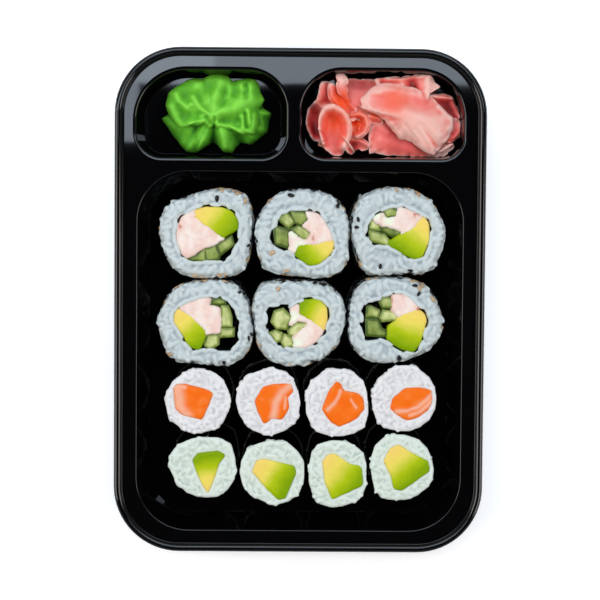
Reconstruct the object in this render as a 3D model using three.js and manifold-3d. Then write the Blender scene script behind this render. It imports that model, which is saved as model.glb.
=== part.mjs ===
// Takeaway sushi tray: a black thermoformed tray with three pockets, packed with six
// inside-out rolls, four salmon rolls, four avocado rolls, a knob of wasabi and folded
// pickled ginger. Millimetres, +Z up, origin at the middle of the tray's underside;
// the two small pockets are at the +Y end.
import * as THREE from 'three';
import { mergeVertices } from 'three/addons/utils/BufferGeometryUtils.js';
import Module from 'manifold-3d';

const wasm = await Module();
wasm.setup();

// ---- Driving dimensions ----

const TAU = 2 * Math.PI;
const GOLDEN_ANGLE = Math.PI * (3 - Math.sqrt(5));
const GAP = 0.3; // clearance between pieces that touch

// Tray
const TRAY_WIDTH = 163;
const TRAY_LENGTH = 222;
const TRAY_HEIGHT = 30;
const TRAY_CORNER = 29;
const SHEET = 0.8; // wall of the formed plastic
const DECK_DROP = 1.6; // the deck lies this far below the top of the rim bead
const LIP_DROP = 3.2; // the turned-down lip ends this far below the bead
const BEAD = [1.1, 3.4]; // the bead's flat top, from and to, inwards from the edge
const BEAD_SHOULDER = 0.5; // the bead's outer shoulder lies this far below its top
const BEAD_SLOPE = 0.5; // the bead falls to the deck over this width
const BEAD_UNDERCUT = 0.3; // the sheet's underside follows the bead this far further in
const DECK = TRAY_HEIGHT - DECK_DROP;
const CORNER_STEPS = 5;

// Pockets: mouth sides, corner radii (+X+Y, -X+Y, -X-Y, +X-Y), floor height, draft of the wall
const MAIN_POCKET = {
  left: -71.4, right: 71.5, bottom: -101.3, top: 56.9,
  radii: [22, 22, 23, 23], floor: SHEET, draft: 3.4,
};
const WASABI_POCKET = {
  left: -72, right: -6.5, bottom: 62.8, top: 101,
  radii: [17, 22, 11, 11], floor: 12.6, draft: 2.2,
};
const GINGER_POCKET = {
  left: 0, right: 71.6, bottom: 63, top: 101.2,
  radii: [20, 18, 11, 10], floor: 12.6, draft: 2.2,
};
const MOUTH_ROUND = 1.2;
const FLOOR_ROUND = 2.6;

// Rolls, cut face up
const ROLL_FOOT = MAIN_POCKET.floor + GAP;
const ROLL_TOP = 28;
const ROLL_FIT = 0.985; // outlines are drawn where neighbours touch, then drawn in by this
const RING_STEPS = 24;
const GRAIN = 0.75; // how far a rice grain stands out of the side
const NORI = 0.7;
const SESAME = [1.6, 0.95, 0.6]; // half length, half width and half thickness of a seed
const SEEDS_PER_ROLL = 5;
const SEED_TRIES = 60;
const SEED_LEVELS = [6, 25]; // the lowest and the highest a seed can lie above the roll's foot
const SEED_SINK = 0.1; // how far a seed's middle is pressed into the side
const SEED_ROOM = 1.6; // what a seed needs between its roll and the next
const MAKI_STEPS = 18;
const CUTTER_REACH = 1; // cutting solids stand out this far above and below what they cut
const SHARPEST_CORNER = 0.6; // limits how far a pointed corner moves when an outline grows
const BUMP_RISE = 0.6; // how much of a grain's unevenness goes up and down

// Inside-out rolls from the foot up, as insets from the side and heights
const RICE_FOOT_INSET = 2.8;
const RICE_SIDE = [
  [1.6, ROLL_FOOT + 1.2], [GRAIN, ROLL_FOOT + 6], [GRAIN, ROLL_FOOT + 12],
  [GRAIN, ROLL_FOOT + 18], [GRAIN + 0.2, ROLL_TOP - 2.6],
];
const RICE_EDGE = [2.4, ROLL_TOP - 0.6];
const RICE_CROWN = 0.55; // the cut face is highest at this share of the way to the hole
const RICE_HOLE_DROP = 0.6;
const LINING_DROP = 0.8; // the nori lining ends this far below the cut face
const FILLING_DROP = 0.4;
const CRAB_SPREAD = 0.4; // the crab is packed this far past its outline, up to the sticks

// Small rolls
const WRAP_DROP = 2.6; // the nori wrap ends this far below the cut face
const SWELL_START = 0.5; // the rice swells outwards this far above the wrap
const SWELL = [[GRAIN, ROLL_TOP - 1.7], [GRAIN + 0.5, ROLL_TOP - 0.9], [GRAIN + 2.4, ROLL_TOP - 0.3]];
const FILLING_COVER = 0.9; // the least rice left outside the filling
const ROOM_COVER = 0.6; // the least rice left outside the room made for the filling

// Inside-out rolls. Every outline is drawn about the roll's own middle: the rice's outer
// side, the hole that the sheet of nori lines, and the fillings packed into it, which the
// nori trims where they reach it.
const URAMAKI = [
  {
    at: [-41.1, 30.2],
    outer: [[20.6, 1], [20.4, 9], [17.9, 16.6], [6.7, 19.9], [-7.2, 16.8], [-18.5, 11.5],
      [-21.8, 3.4], [-19.9, -8], [-15.1, -17.3], [-6.2, -20.4], [4.8, -20.6], [16.8, -17.3],
      [19.4, -8]],
    hole: [[14.6, 4.8], [11.8, 9.6], [1.4, 12], [-8.6, 9.1], [-13.4, 4.3], [-13.7, -5.3],
      [-8.5, -13], [0, -13.2], [10.5, -11.5], [13.4, -4.8]],
    avocado: [[-5.2, 6.4], [-5, 13], [15, 13], [16, 3.5], [7.2, -2.2]],
    crab: [[-5, 13], [-16, 8], [-16, -8], [-8.2, -11.3], [6.7, -4.3], [7.2, -2.4]],
    cucumber: [
      [[-8.2, -11.5], [-6, -17], [0.4, -14], [-0.4, -6.6], [-4.8, -9.4]],
      [[-0.8, -13.4], [5.8, -11.6], [6.7, -9.1], [4.6, -5], [-1, -7]],
      [[6, -9.8], [13.2, -5], [11.2, -0.8], [7.2, -3.4], [4.4, -5]],
    ],
  },
  {
    at: [0.7, 30.2],
    outer: [[21.6, 4], [18.2, 13], [9.6, 18.7], [0, 19.9], [-9, 18.5], [-16.8, 12],
      [-21.1, 2.9], [-20.4, -7.2], [-16.8, -17], [-7.2, -18.9], [4, -20.5], [13.4, -19.9],
      [20, -16], [21.4, -6]],
    hole: [[12.5, 2.4], [10.6, 6.2], [7.7, 9.1], [-2.4, 10.6], [-10.6, 8.2], [-12.6, 2],
      [-14.2, -3.6], [-4.8, -9.1], [3.1, -15.1], [7.7, -14.6], [13.9, -9.1], [15.1, -4.8]],
    avocado: [[-1.4, -5.9], [7.2, -4.9], [17, -2.4], [16, -12], [5, -17], [-3, -10]],
    crab: [[2.6, 12], [10, 12], [16, -1.4], [7.2, -4.8], [0, -5], [-2.6, -9.5], [-5.2, -7.2],
      [-5.6, 1]],
    cucumber: [
      [[-11, 6.2], [-7.2, 9.6], [-2.8, 5.2], [-6.2, 1.2]],
      [[-6, 10.6], [1.9, 9.1], [2.9, 5.9], [-0.6, 2.6], [-4, 4]],
      [[-6.2, 1.7], [-0.8, 4.2], [4.3, 0], [2.4, -3.4], [-0.5, -2.9]],
      [[-14, 3.4], [-5.6, 2.2], [-5.3, -6.7], [-12, -4.8]],
    ],
  },
  {
    at: [43.7, 31.3],
    outer: [[21.5, 0], [18.2, 8.4], [14, 14.8], [4.5, 19], [-5.8, 19.7], [-16.1, 16.6],
      [-20.4, 9.1], [-21.4, 1], [-19.8, -9.5], [-14.4, -19.2], [-3.8, -19.9], [5.8, -18.9],
      [13.9, -19.2], [18.2, -12.5]],
    hole: [[13.4, 4.5], [7.7, 8.6], [0, 11.3], [-8.6, 8.6], [-14.2, 4], [-13.9, -4.8],
      [-4.8, -7.4], [4.8, -12], [9.1, -13.4], [12.6, -9.5]],
    avocado: [[10.4, 6.2], [16, 6], [10.6, -9.6], [7.6, -14], [-4.8, -7], [-4.3, -4.9], [5.8, 1.3]],
    crab: [[-0.5, 13], [6, 13], [10.5, 6.3], [5.8, 1.4], [1.4, -0.5], [-3.4, 1.9], [-8.8, 2.8],
      [-13, 8], [-8.2, 9.5], [-6, 5.7], [-1.8, 5.8]],
    cucumber: [
      [[-8, 8.6], [-4.8, 11], [-0.6, 9.8], [-1.4, 6.2], [-6, 5.6]],
      [[-14, 5.5], [-8.6, 3], [-8.6, -0.4], [-15, 0.6]],
      [[-9, 2.6], [-3.4, 1.7], [1, 0], [0, -2.4], [-3.4, -3], [-8.6, -0.6]],
      [[-15, 0.8], [-6.6, -1], [-4.3, -4.3], [-5.3, -8], [-15, -5.5]],
    ],
  },
  {
    at: [-41.7, -9.6],
    outer: [[20.6, 3], [18.6, 11.2], [12.5, 17.4], [4.8, 19.2], [-5.4, 18], [-14.4, 15.6],
      [-18.7, 8.6], [-21.8, -1], [-19.4, -9.5], [-15, -17.8], [-7, -18.8], [2.4, -19.7],
      [13.4, -19], [20.2, -12.5], [21.6, -5]],
    hole: [[14.4, 3.8], [12.6, 8.6], [3.4, 11.8], [-5.3, 10.3], [-12.5, 6.2], [-14.9, 1.6],
      [-11.5, -4.3], [-5.2, -12.6], [2.9, -12], [14.2, -11.4]],
    avocado: [[-17, 3], [-13, 7.6], [-9.1, 4.8], [-1, -2.2], [0.2, -4.8], [-1, -8.5], [-4.8, -16]],
    crab: [[-13.6, 8.6], [-4, 14], [3, 14], [1.9, 7.6], [7, 5.4], [6.7, -3], [5, -4.9],
      [0.5, -4.8], [-1, -2], [-9.1, 4.9]],
    cucumber: [
      [[1.8, 7.5], [3.4, 13], [9.4, 12.6], [9, 7.2]],
      [[6.9, 8], [10.4, 8.2], [12, 3], [12, -1.6], [7, -1.8]],
      [[6.8, -1.4], [13.2, -1.7], [13.2, -5.8], [6.6, -6.5]],
      [[1, -4.9], [7.4, -4.6], [6.2, -9.6], [2.4, -13], [-0.6, -9.6]],
    ],
  },
  {
    at: [-0.1, -9.3],
    outer: [[20.8, 1], [21, 8], [16.2, 14.6], [8, 18.4], [-1, 18.7], [-10, 19], [-18.4, 16.2],
      [-21.1, 8.2], [-20.4, -2], [-18.4, -11], [-12.2, -18.2], [-1.5, -20.2], [9, -17.6],
      [16.8, -12], [19.4, -5.6]],
    hole: [[13.2, 2], [11, 9.8], [2.9, 10.8], [-3.6, 7.6], [-13.5, 7.2], [-13.9, -4.8],
      [-7.7, -10.8], [1.4, -12], [9.6, -7.9]],
    avocado: [[0, 6.4], [1, 14], [11, 13], [16, 0], [11.6, -3.6], [5.8, 1], [0.4, 4.2]],
    crab: [[-3.4, 6.7], [-2, 9], [0, 5.6], [5.8, 0.9], [12, -3.7], [11, -10], [1, -14],
      [-2.2, -9.6], [-2.2, -6.8], [1, -2.9], [-4.4, -2.2], [-3, 3]],
    cucumber: [
      [[-11, 5.6], [-7.2, 7.4], [-3.4, 3.2], [-5.2, -2.6], [-9.8, -2.6], [-13, 1]],
      [[-15, -4.4], [-10.6, -2], [-6.9, -3.4], [-7.6, -7.4], [-10.4, -10]],
      [[-8.6, -7.4], [-6.9, -4], [-2.9, -5.6], [-1.9, -9.6], [-7.2, -12]],
      [[-5.3, -2.4], [-1, 1], [2.9, 0.5], [3.8, -1], [-1.6, -6], [-4.6, -5.4]],
    ],
  },
  {
    at: [42.5, -8.5],
    outer: [[22, 0], [18.7, 10.1], [12.5, 16.8], [4, 19.5], [-6, 19.9], [-15.4, 17.3],
      [-20.2, 9], [-20.8, -4], [-19, -13.5], [-12, -18.2], [-3, -19.3], [9.6, -16.5],
      [17.4, -11.4], [21, -5.5]],
    hole: [[14.3, 2], [8.4, 9], [2.9, 13], [-7.7, 10.3], [-14, 7.4], [-14.4, -8.6],
      [-7.7, -7.6], [5.8, -14.2], [9.8, -13.4], [13, -4.8]],
    avocado: [[-2.9, -2.4], [0.5, 0], [1.2, 1.9], [8.6, 4.8], [17, 3], [10.6, -17], [3, -16],
      [-3.6, -8]],
    crab: [[-1.6, 15], [4, 15], [10, 6.6], [8.4, 4.9], [1.4, 1.9], [-1.9, 5.8], [-8, 5.5],
      [-11, 9.5], [-7.9, 9.8], [-2.4, 10.1]],
    cucumber: [
      [[-8, 8.2], [-6.5, 12], [-1.9, 11], [-1.6, 5.6], [-7, 4.8]],
      [[-16, 6.6], [-12.5, 7.6], [-7.2, 4.8], [-8, 0.8], [-16, 1]],
      [[-8.8, 1.4], [-6.6, 5.2], [-0.5, 4.3], [0.7, 1.9], [-0.5, 0], [-7.2, -0.8]],
      [[-16, 1.4], [-8, 1], [-6.6, -3.2], [-3.6, -4.6], [-5.2, -7.4], [-16, -7]],
    ],
  },
];

// Small rolls: the rice's outer outline and the one filling that runs through it
const SALMON_MAKI = [
  {
    at: [-44.9, -44.3],
    outer: [[2.4, 15], [10, 12.2], [14.4, 5.5], [15.2, -1.5], [12, -10], [3.4, -15],
      [-5.8, -13.8], [-12.4, -8.6], [-15, -1.5], [-11.8, 8.8], [-4.2, 13.9]],
    filling: [[-10.4, 7], [-5.3, 7.3], [4.9, 4.5], [6.7, 3.2], [4.9, -1.9], [1.9, -8],
      [-6.3, -6], [-9.3, -3.4]],
  },
  {
    at: [-13.5, -44.6],
    outer: [[1, 15.7], [9.2, 13.7], [13.6, 6.6], [15, -1.6], [12.6, -8.8], [7.1, -14.1],
      [-1.5, -15.6], [-9.4, -11.6], [-14.5, -2.9], [-13.8, 7.3], [-7, 13.6]],
    filling: [[2.5, 7.8], [-2, 6.5], [-5.6, 0.7], [-4.6, -3.4], [-1.8, -9.5], [1.5, -7],
      [6.1, -7.5], [8.9, -2.4], [8.4, 2.2], [12, 6.4], [11, 8]],
  },
  {
    at: [17, -44.3],
    outer: [[-1.4, 16], [3.7, 15], [11.9, 10.4], [14, 1.7], [14.8, -4.6], [11.4, -12.6],
      [-0.3, -16.1], [-8, -14.8], [-13.1, -9.5], [-14.8, -1.5], [-13.4, 7.3], [-7, 13.9]],
    filling: [[-0.3, 8.8], [1.2, 7.8], [2.7, 4.8], [9.3, 3.5], [13.4, -0.3], [11.4, -3.4],
      [8.8, -7], [1.2, -10.8], [-2.4, -9], [-6.5, -3.4], [-3.4, 4.8]],
  },
  {
    at: [46.5, -42.5],
    outer: [[0.9, 15.7], [8.5, 12.6], [13.8, 6.8], [15.2, -2.5], [11.6, -10.4], [3.5, -15.2],
      [-7, -14.6], [-12.9, -10], [-15, 0.2], [-12.2, 8], [-5.3, 14.2]],
    filling: [[0.6, 4.2], [7.5, 4.5], [12.8, 3.2], [13.2, 0.2], [10.5, -4.9], [6.5, -8],
      [1.4, -9.5], [-3.7, -6.7], [-5.8, -4.4], [-4.8, -0.3]],
  },
];

const AVOCADO_MAKI = [
  {
    at: [-42.8, -74.2],
    outer: [[5.1, 14.7], [12.4, 13], [15.6, 5], [15.8, -3.4], [10.7, -11.6], [4, -14],
      [-6, -12], [-12, -6.2], [-15.3, 1.7], [-13, 8.8], [-5.5, 13.8]],
    filling: [[-3.8, 3.7], [-1.5, 6.5], [7.1, 7.6], [10.2, 6], [7.6, 2.7], [6.1, -2.4],
      [2.8, -10.8], [-0.5, -4.9]],
  },
  {
    at: [-11.6, -75.7],
    outer: [[-2.4, 14.4], [9.6, 12.4], [14.2, 6], [15, -3.4], [11.9, -11], [3.2, -15.4],
      [-8, -12.1], [-13.4, -6.4], [-14.9, 1.2], [-12.6, 10]],
    filling: [[-6.7, 5], [-3.4, 5.5], [9.6, 2.6], [10.4, -0.3], [8.3, -5.4], [5, -13.4],
      [3.7, -12.8], [-2.4, -7], [-8.5, 0.2]],
  },
  {
    at: [17.4, -76.3],
    outer: [[-5.1, 15.5], [4.8, 15], [12.2, 9.5], [13.6, 0], [13.6, -7], [8.5, -12.9],
      [-1.7, -16], [-7.5, -14.8], [-12.4, -8], [-13.6, 1.4], [-11.4, 11.8]],
    filling: [[-6.5, 5.1], [-4.4, 8.2], [-1.4, 8.8], [4.8, 4.4], [9.5, 3.4], [12.4, 0],
      [11.4, -4.8], [-2.2, -11.2], [-5.3, -3.4]],
  },
  {
    at: [46, -73.9],
    outer: [[-6.8, 15.5], [5.1, 15], [11.2, 10.5], [14.8, 2], [14.2, -5.6], [6.8, -12.9],
      [-3.4, -15.1], [-12, -11.4], [-14.4, -2], [-14, 8], [-10.4, 13.6]],
    filling: [[-8, 3.4], [-5.4, 8.8], [-1.7, 10.5], [4.8, 6.5], [11.2, 3.4], [12.8, -0.3],
      [6.1, -5.1], [0, -9.5], [-3.4, -8.8], [-4.8, -2.7]],
  },
];

// Wasabi: a piped knob, gathered at one point into folds
const WASABI_AT = [-38, 80];
const WASABI_OUTLINE = [[21.6, 2.2], [19.8, 9], [16.6, 16.4], [2.6, 18.2], [-7.1, 17.4],
  [-15.4, 14], [-20.3, 9], [-22.4, 1.3], [-18.4, -5.4], [-12.3, -12.8], [-7.4, -12.4],
  [-0.5, -9.4], [7.5, -13], [14.9, -10.2], [20.6, -6.4]];
const WASABI_HEIGHT = 12.4;
const TWIST = 0.12; // the folds swirl by this angle from the middle to the edge
const WASABI_RIDGES = [5, 32, 62, 93, 122, 150, 176, 198, 240, 300, 338]; // degrees from +X
const WASABI_STEPS = 32;
// each level of the knob: its share of the outline, its share of the height, its folds' depth
const WASABI_LEVELS = [
  [0.84, 0, 0], [0.95, 0.2, 0.6], [1, 0.42, 1], [0.9, 0.68, 1.5], [0.72, 0.8, 1.7], [0.5, 0.91, 1.4],
  [0.28, 1, 1], [0.09, 0.95, 0.3],
];
const FOLD_SHARE = 0.7; // how much of a fold's depth shows in the outline and in the height
const FOLDS_FULL = 0.67; // from this share of the height up the folds also rise and fall

// Ginger: thin slices, each bent about its own length. at is the slice's middle above the
// pocket floor, turn its heading, lean its tilt and curl how far it bends, in degrees.
const GINGER_SLICE = 1.2;
const GINGER_CORE = [[66, 82], [54, 93], [36, 96], [20, 94], [6, 86], [6, 76], [16, 67.5],
  [38, 66.5], [58, 69], [65, 75]];
const GINGER_CORE_HEIGHT = 6;
const GINGER_CORE_INSETS = [2, 2.5]; // how far the heap is drawn in at its foot and at its top
const SLICE_WAVE = 0.5; // how far a slice waves along its length and width
const SLICE_WAVES = [4, 3];
const GINGER_SLICES = [
  { at: [47, 82.5, 12.6], size: [40, 29], turn: -25, lean: 4, curl: 86, steps: [5, 4] },
  { at: [36, 73, 8], size: [24, 15], turn: -12, lean: 3, curl: 40, steps: [3, 3] },
  { at: [14.6, 78, 8.4], size: [13, 38], turn: 100, lean: 76, curl: 310, steps: [2, 8] },
  { at: [8.2, 84.5, 7], size: [22, 11], turn: 74, lean: -16, curl: 90, steps: [3, 3] },
  { at: [18.6, 92.5, 9.4], size: [11, 7], turn: 96, lean: -34, curl: 120, steps: [3, 3] },
  { at: [28, 89.5, 7.4], size: [17, 12], turn: 8, lean: 8, curl: 50, steps: [3, 3] },
  { at: [28, 80.6, 8], size: [12, 9], turn: 48, lean: 20, curl: 150, steps: [3, 4] },
  { at: [54, 94, 9.4], size: [17, 8], turn: -6, lean: 6, curl: 100, steps: [3, 3] },
  { at: [62.6, 84, 8], size: [13, 13], turn: -38, lean: 14, curl: 60, steps: [3, 3] },
  { at: [18, 69.6, 6.6], size: [17, 8], turn: -14, lean: -6, curl: 110, steps: [3, 3] },
];

// ---- Shapes ----

// Repeatable random numbers from 0 to 1
function randomFrom(seed) {
  let state = seed;
  return () => {
    state = (state * 1664525 + 1013904223) % 4294967296;
    return state / 4294967296;
  };
}

function geometryOf(positions, indices) {
  const geometry = new THREE.BufferGeometry();
  geometry.setAttribute('position', new THREE.Float32BufferAttribute(positions.flat(), 3));
  geometry.setIndex(indices.flat());
  return geometry;
}

// The strip of triangles between two neighbouring loops of a loft
function strip(from, to, count) {
  const faces = [];
  for (let i = 0; i < count; i += 1) {
    const next = (i + 1) % count;
    faces.push([from + i, from + next, to + next], [from + i, to + next, to + i]);
  }
  return faces;
}

// A solid lofted through anticlockwise loops, closed by a flat cap at each end
function loft(loops) {
  const count = loops[0].length;
  const last = (loops.length - 1) * count;
  const faces = [];
  for (let k = 0; k + 1 < loops.length; k += 1) {
    faces.push(...strip(k * count, (k + 1) * count, count));
  }
  const cap = (loop) => THREE.ShapeUtils.triangulateShape(
    loop.map(([x, y]) => new THREE.Vector2(x, y)), []);
  cap(loops[0]).forEach(([a, b, c]) => faces.push([a, c, b]));
  cap(loops.at(-1)).forEach(([a, b, c]) => faces.push([last + a, last + b, last + c]));
  return geometryOf(loops.flat(), faces);
}

// A ring lofted through loops that go once round its section and meet again
function ringLoft(loops) {
  const count = loops[0].length;
  const faces = loops.flatMap((_, k) => {
    const next = (k + 1) % loops.length;
    return strip(k * count, next * count, count);
  });
  return geometryOf(loops.flat(), faces);
}

// An upright prism on a straight-sided outline
function prism(outline, bottom, top) {
  return loft([bottom, top].map((z) => outline.map(([x, y]) => [x, y, z])));
}

// An outline moved outwards by a distance at every corner
function grown(outline, distance) {
  const count = outline.length;
  return outline.map(([x, y], i) => {
    const [ax, ay] = outline[(i + count - 1) % count];
    const [bx, by] = outline[(i + 1) % count];
    const before = new THREE.Vector2(y - ay, ax - x).normalize();
    const after = new THREE.Vector2(by - y, x - bx).normalize();
    const out = before.clone().add(after).normalize();
    const reach = distance / Math.max(SHARPEST_CORNER, out.dot(after));
    return [x + out.x * reach, y + out.y * reach];
  });
}

// Drawn outlines run either way round; solids need them anticlockwise
function anticlockwise(outline) {
  const points = outline.map(([x, y]) => new THREE.Vector2(x, y));
  return THREE.ShapeUtils.isClockWise(points) ? outline.slice().reverse() : outline;
}

// The distance from the middle to a smooth closed outline, in any direction
function radiusOf(outline) {
  const corners = outline.map(([x, y]) => new THREE.Vector3(x, y, 0));
  const curve = new THREE.CatmullRomCurve3(corners, true, 'centripetal');
  const samples = curve.getPoints(outline.length * 8).slice(0, -1)
    .map(({ x, y }) => ({ angle: (Math.atan2(y, x) + TAU) % TAU, radius: Math.hypot(x, y) }))
    .sort((a, b) => a.angle - b.angle);
  return (direction) => {
    const angle = ((direction % TAU) + TAU) % TAU;
    const found = samples.findIndex((sample) => sample.angle > angle);
    const high = found < 0 ? 0 : found;
    const low = (high + samples.length - 1) % samples.length;
    const span = (samples[high].angle - samples[low].angle + TAU) % TAU;
    const part = (angle - samples[low].angle + TAU) % TAU;
    return THREE.MathUtils.lerp(samples[low].radius, samples[high].radius, part / span);
  };
}

// A level loop at a height, drawn in from an outline
function loopOf(radius, inset, z, steps) {
  return Array.from({ length: steps }, (_, i) => {
    const angle = (i * TAU) / steps;
    const reach = radius(angle) - inset;
    return [reach * Math.cos(angle), reach * Math.sin(angle), z];
  });
}

// Moves every point of a loop outwards by up to an amount, for uneven rice
function bumpy(loop, amount, random) {
  return loop.map(([x, y, z]) => {
    const grow = 1 + (random() * amount) / Math.hypot(x, y);
    return [x * grow, y * grow, z + (random() - 0.5) * amount * BUMP_RISE];
  });
}

// A level loop of a rounded rectangle drawn in by an inset
function rectangleLoop({ left, right, bottom, top, radii }, inset, z) {
  const corners = [
    [right, top, radii[0]], [left, top, radii[1]], [left, bottom, radii[2]], [right, bottom, radii[3]],
  ];
  return corners.flatMap(([x, y, radius], corner) => {
    const start = (corner * TAU) / 4;
    const centreX = x - Math.sign(x - (left + right) / 2) * radius;
    const centreY = y - Math.sign(y - (bottom + top) / 2) * radius;
    return Array.from({ length: CORNER_STEPS + 1 }, (_, i) => {
      const angle = start + (i * TAU) / 4 / CORNER_STEPS;
      const reach = radius - inset;
      return [centreX + reach * Math.cos(angle), centreY + reach * Math.sin(angle), z];
    });
  });
}

// ---- Joining and cutting ----

function solidOf(geometry) {
  const bare = geometry.clone();
  bare.deleteAttribute('normal');
  bare.deleteAttribute('uv');
  const merged = mergeVertices(bare);
  return new wasm.Manifold(new wasm.Mesh({
    numProp: 3,
    vertProperties: new Float32Array(merged.getAttribute('position').array),
    triVerts: new Uint32Array(merged.getIndex().array),
  }));
}

function united(geometries) {
  return geometries.map(solidOf).reduce((sum, solid) => sum.add(solid));
}

// The geometry of a solid's largest body, without scraps and sealed hollows
function largestBody(solid) {
  const { vertProperties, triVerts } = solid.getMesh();
  const parent = Array.from({ length: vertProperties.length / 3 }, (_, i) => i);
  const rootOf = (i) => {
    let node = i;
    while (parent[node] !== node) {
      node = parent[node];
    }
    return node;
  };
  for (let t = 0; t < triVerts.length; t += 3) {
    parent[rootOf(triVerts[t])] = rootOf(triVerts[t + 1]);
    parent[rootOf(triVerts[t + 1])] = rootOf(triVerts[t + 2]);
  }
  const corner = (i) => new THREE.Vector3().fromArray(vertProperties, triVerts[i] * 3);
  const bodies = new Map();
  for (let t = 0; t < triVerts.length; t += 3) {
    const root = rootOf(triVerts[t]);
    const body = bodies.get(root) ?? { volume: 0, faces: [] };
    body.volume += corner(t).dot(corner(t + 1).cross(corner(t + 2))) / 6;
    body.faces.push(triVerts[t], triVerts[t + 1], triVerts[t + 2]);
    bodies.set(root, body);
  }
  const largest = [...bodies.values()].sort((a, b) => b.volume - a.volume)[0];
  const geometry = new THREE.BufferGeometry();
  geometry.setAttribute('position', new THREE.BufferAttribute(vertProperties, 3));
  geometry.setIndex(largest.faces);
  return geometry;
}

// ---- Finishes ----

const FINISHES = {
  tray: { color: 0x0b0b0d, roughness: 0.16 },
  rice: { color: 0xdfe4e6, roughness: 0.5 },
  nori: { color: 0x10140f, roughness: 0.55 },
  avocado: { color: 0xb7c63c, roughness: 0.45 },
  crab: { color: 0xf6dfd3, roughness: 0.5 },
  cucumber: { color: 0xb9c48a, roughness: 0.35 },
  salmon: { color: 0xf97a22, roughness: 0.35 },
  wasabi: { color: 0x72c443, roughness: 0.55 },
  ginger: { color: 0xf08078, roughness: 0.35 },
};

const packedTray = new THREE.Group();

function piece(name, finish, geometry, [x, y] = [0, 0]) {
  const material = new THREE.MeshStandardMaterial({ metalness: 0, ...FINISHES[finish] });
  geometry.computeVertexNormals();
  const mesh = new THREE.Mesh(geometry, material);
  mesh.name = name;
  mesh.position.set(x, y, 0);
  packedTray.add(mesh);
}

// ---- Tray: rim and deck in one sheet, with three pockets formed into it ----

// Arc of a wall's section: [inset, height] pairs round a centre, from one angle to another
function sectionArc([inset, height], radius, from, to, steps) {
  return Array.from({ length: steps + 1 }, (_, i) => {
    const angle = THREE.MathUtils.degToRad(THREE.MathUtils.lerp(from, to, i / steps));
    return [inset + radius * Math.cos(angle), height + radius * Math.sin(angle)];
  });
}

// The formed wall of a pocket, offset from its inner face: 0 inside, SHEET outside
function pocketSection({ floor, draft }, offset) {
  const mouthSteps = offset > 0 ? 1 : 2;
  const mouth = [-MOUTH_ROUND, DECK - MOUTH_ROUND];
  const foot = [draft + FLOOR_ROUND, floor + FLOOR_ROUND];
  return [
    ...sectionArc(mouth, MOUTH_ROUND - offset, 90, 0, mouthSteps),
    ...sectionArc(foot, FLOOR_ROUND + offset, 180, 270, 2),
  ];
}

function pocketSolid(pocket, offset, start) {
  const [[widest]] = pocketSection(pocket, offset);
  const section = [[widest, start], ...pocketSection(pocket, offset)];
  return loft(section.map(([inset, z]) => rectangleLoop(pocket, inset, z)).reverse());
}

function trayGeometry() {
  const rim = {
    left: -TRAY_WIDTH / 2, right: TRAY_WIDTH / 2, bottom: -TRAY_LENGTH / 2, top: TRAY_LENGTH / 2,
    radii: Array(4).fill(TRAY_CORNER),
  };
  const [beadFrom, beadTo] = BEAD;
  const underside = [
    [beadTo + BEAD_SLOPE + BEAD_UNDERCUT, DECK - SHEET], [beadTo - BEAD_UNDERCUT, TRAY_HEIGHT - SHEET],
    [beadFrom + BEAD_UNDERCUT, TRAY_HEIGHT - SHEET], [SHEET, TRAY_HEIGHT - LIP_DROP / 2],
    [SHEET, TRAY_HEIGHT - LIP_DROP],
  ];
  const upperside = [
    [0, TRAY_HEIGHT - LIP_DROP], [0, TRAY_HEIGHT - LIP_DROP / 2],
    [beadFrom / 3, TRAY_HEIGHT - BEAD_SHOULDER], [beadFrom, TRAY_HEIGHT], [beadTo, TRAY_HEIGHT],
    [beadTo + BEAD_SLOPE, DECK],
  ];
  const deck = loft([...underside, ...upperside].map(([inset, z]) => rectangleLoop(rim, inset, z)));
  const pockets = [MAIN_POCKET, WASABI_POCKET, GINGER_POCKET];
  const shells = pockets.map((pocket) => pocketSolid(pocket, SHEET, DECK - SHEET / 2));
  const hollows = pockets.map((pocket) => pocketSolid(pocket, 0, TRAY_HEIGHT + CUTTER_REACH));
  return largestBody(united([deck, ...shells]).subtract(united(hollows)));
}

// ---- Rolls ----

const fitted = (outline) => outline.map(([x, y]) => [x * ROLL_FIT, y * ROLL_FIT]);

const rolls = [...URAMAKI, ...SALMON_MAKI, ...AVOCADO_MAKI];
rolls.forEach((roll) => {
  roll.side = radiusOf(fitted(roll.outer));
});

// How far a point on one roll is from the side of its nearest neighbour
function clearance(roll, x, y) {
  const others = rolls.filter((other) => other !== roll);
  return Math.min(...others.map((other) => {
    const dx = roll.at[0] + x - other.at[0];
    const dy = roll.at[1] + y - other.at[1];
    return Math.hypot(dx, dy) - other.side(Math.atan2(dy, dx));
  }));
}

// Sesame seeds pressed flat into the side of a roll, by the golden angle
function seeds(roll, random) {
  const [long, wide, thick] = SESAME;
  const [lowest, highest] = SEED_LEVELS;
  const found = [];
  for (let i = 0; found.length < SEEDS_PER_ROLL && i < SEED_TRIES; i += 1) {
    const angle = i * GOLDEN_ANGLE;
    const reach = roll.side(angle) - SEED_SINK;
    const [x, y] = [reach * Math.cos(angle), reach * Math.sin(angle)];
    const height = THREE.MathUtils.lerp(lowest, highest, random());
    const turn = random() * Math.PI;
    if (clearance(roll, x, y) > SEED_ROOM) {
      const seed = new THREE.IcosahedronGeometry(1, 0);
      seed.scale(thick, wide, long);
      seed.rotateX(turn);
      seed.rotateZ(angle);
      seed.translate(x, y, ROLL_FOOT + height);
      found.push(seed);
    }
  }
  return found;
}

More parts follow.
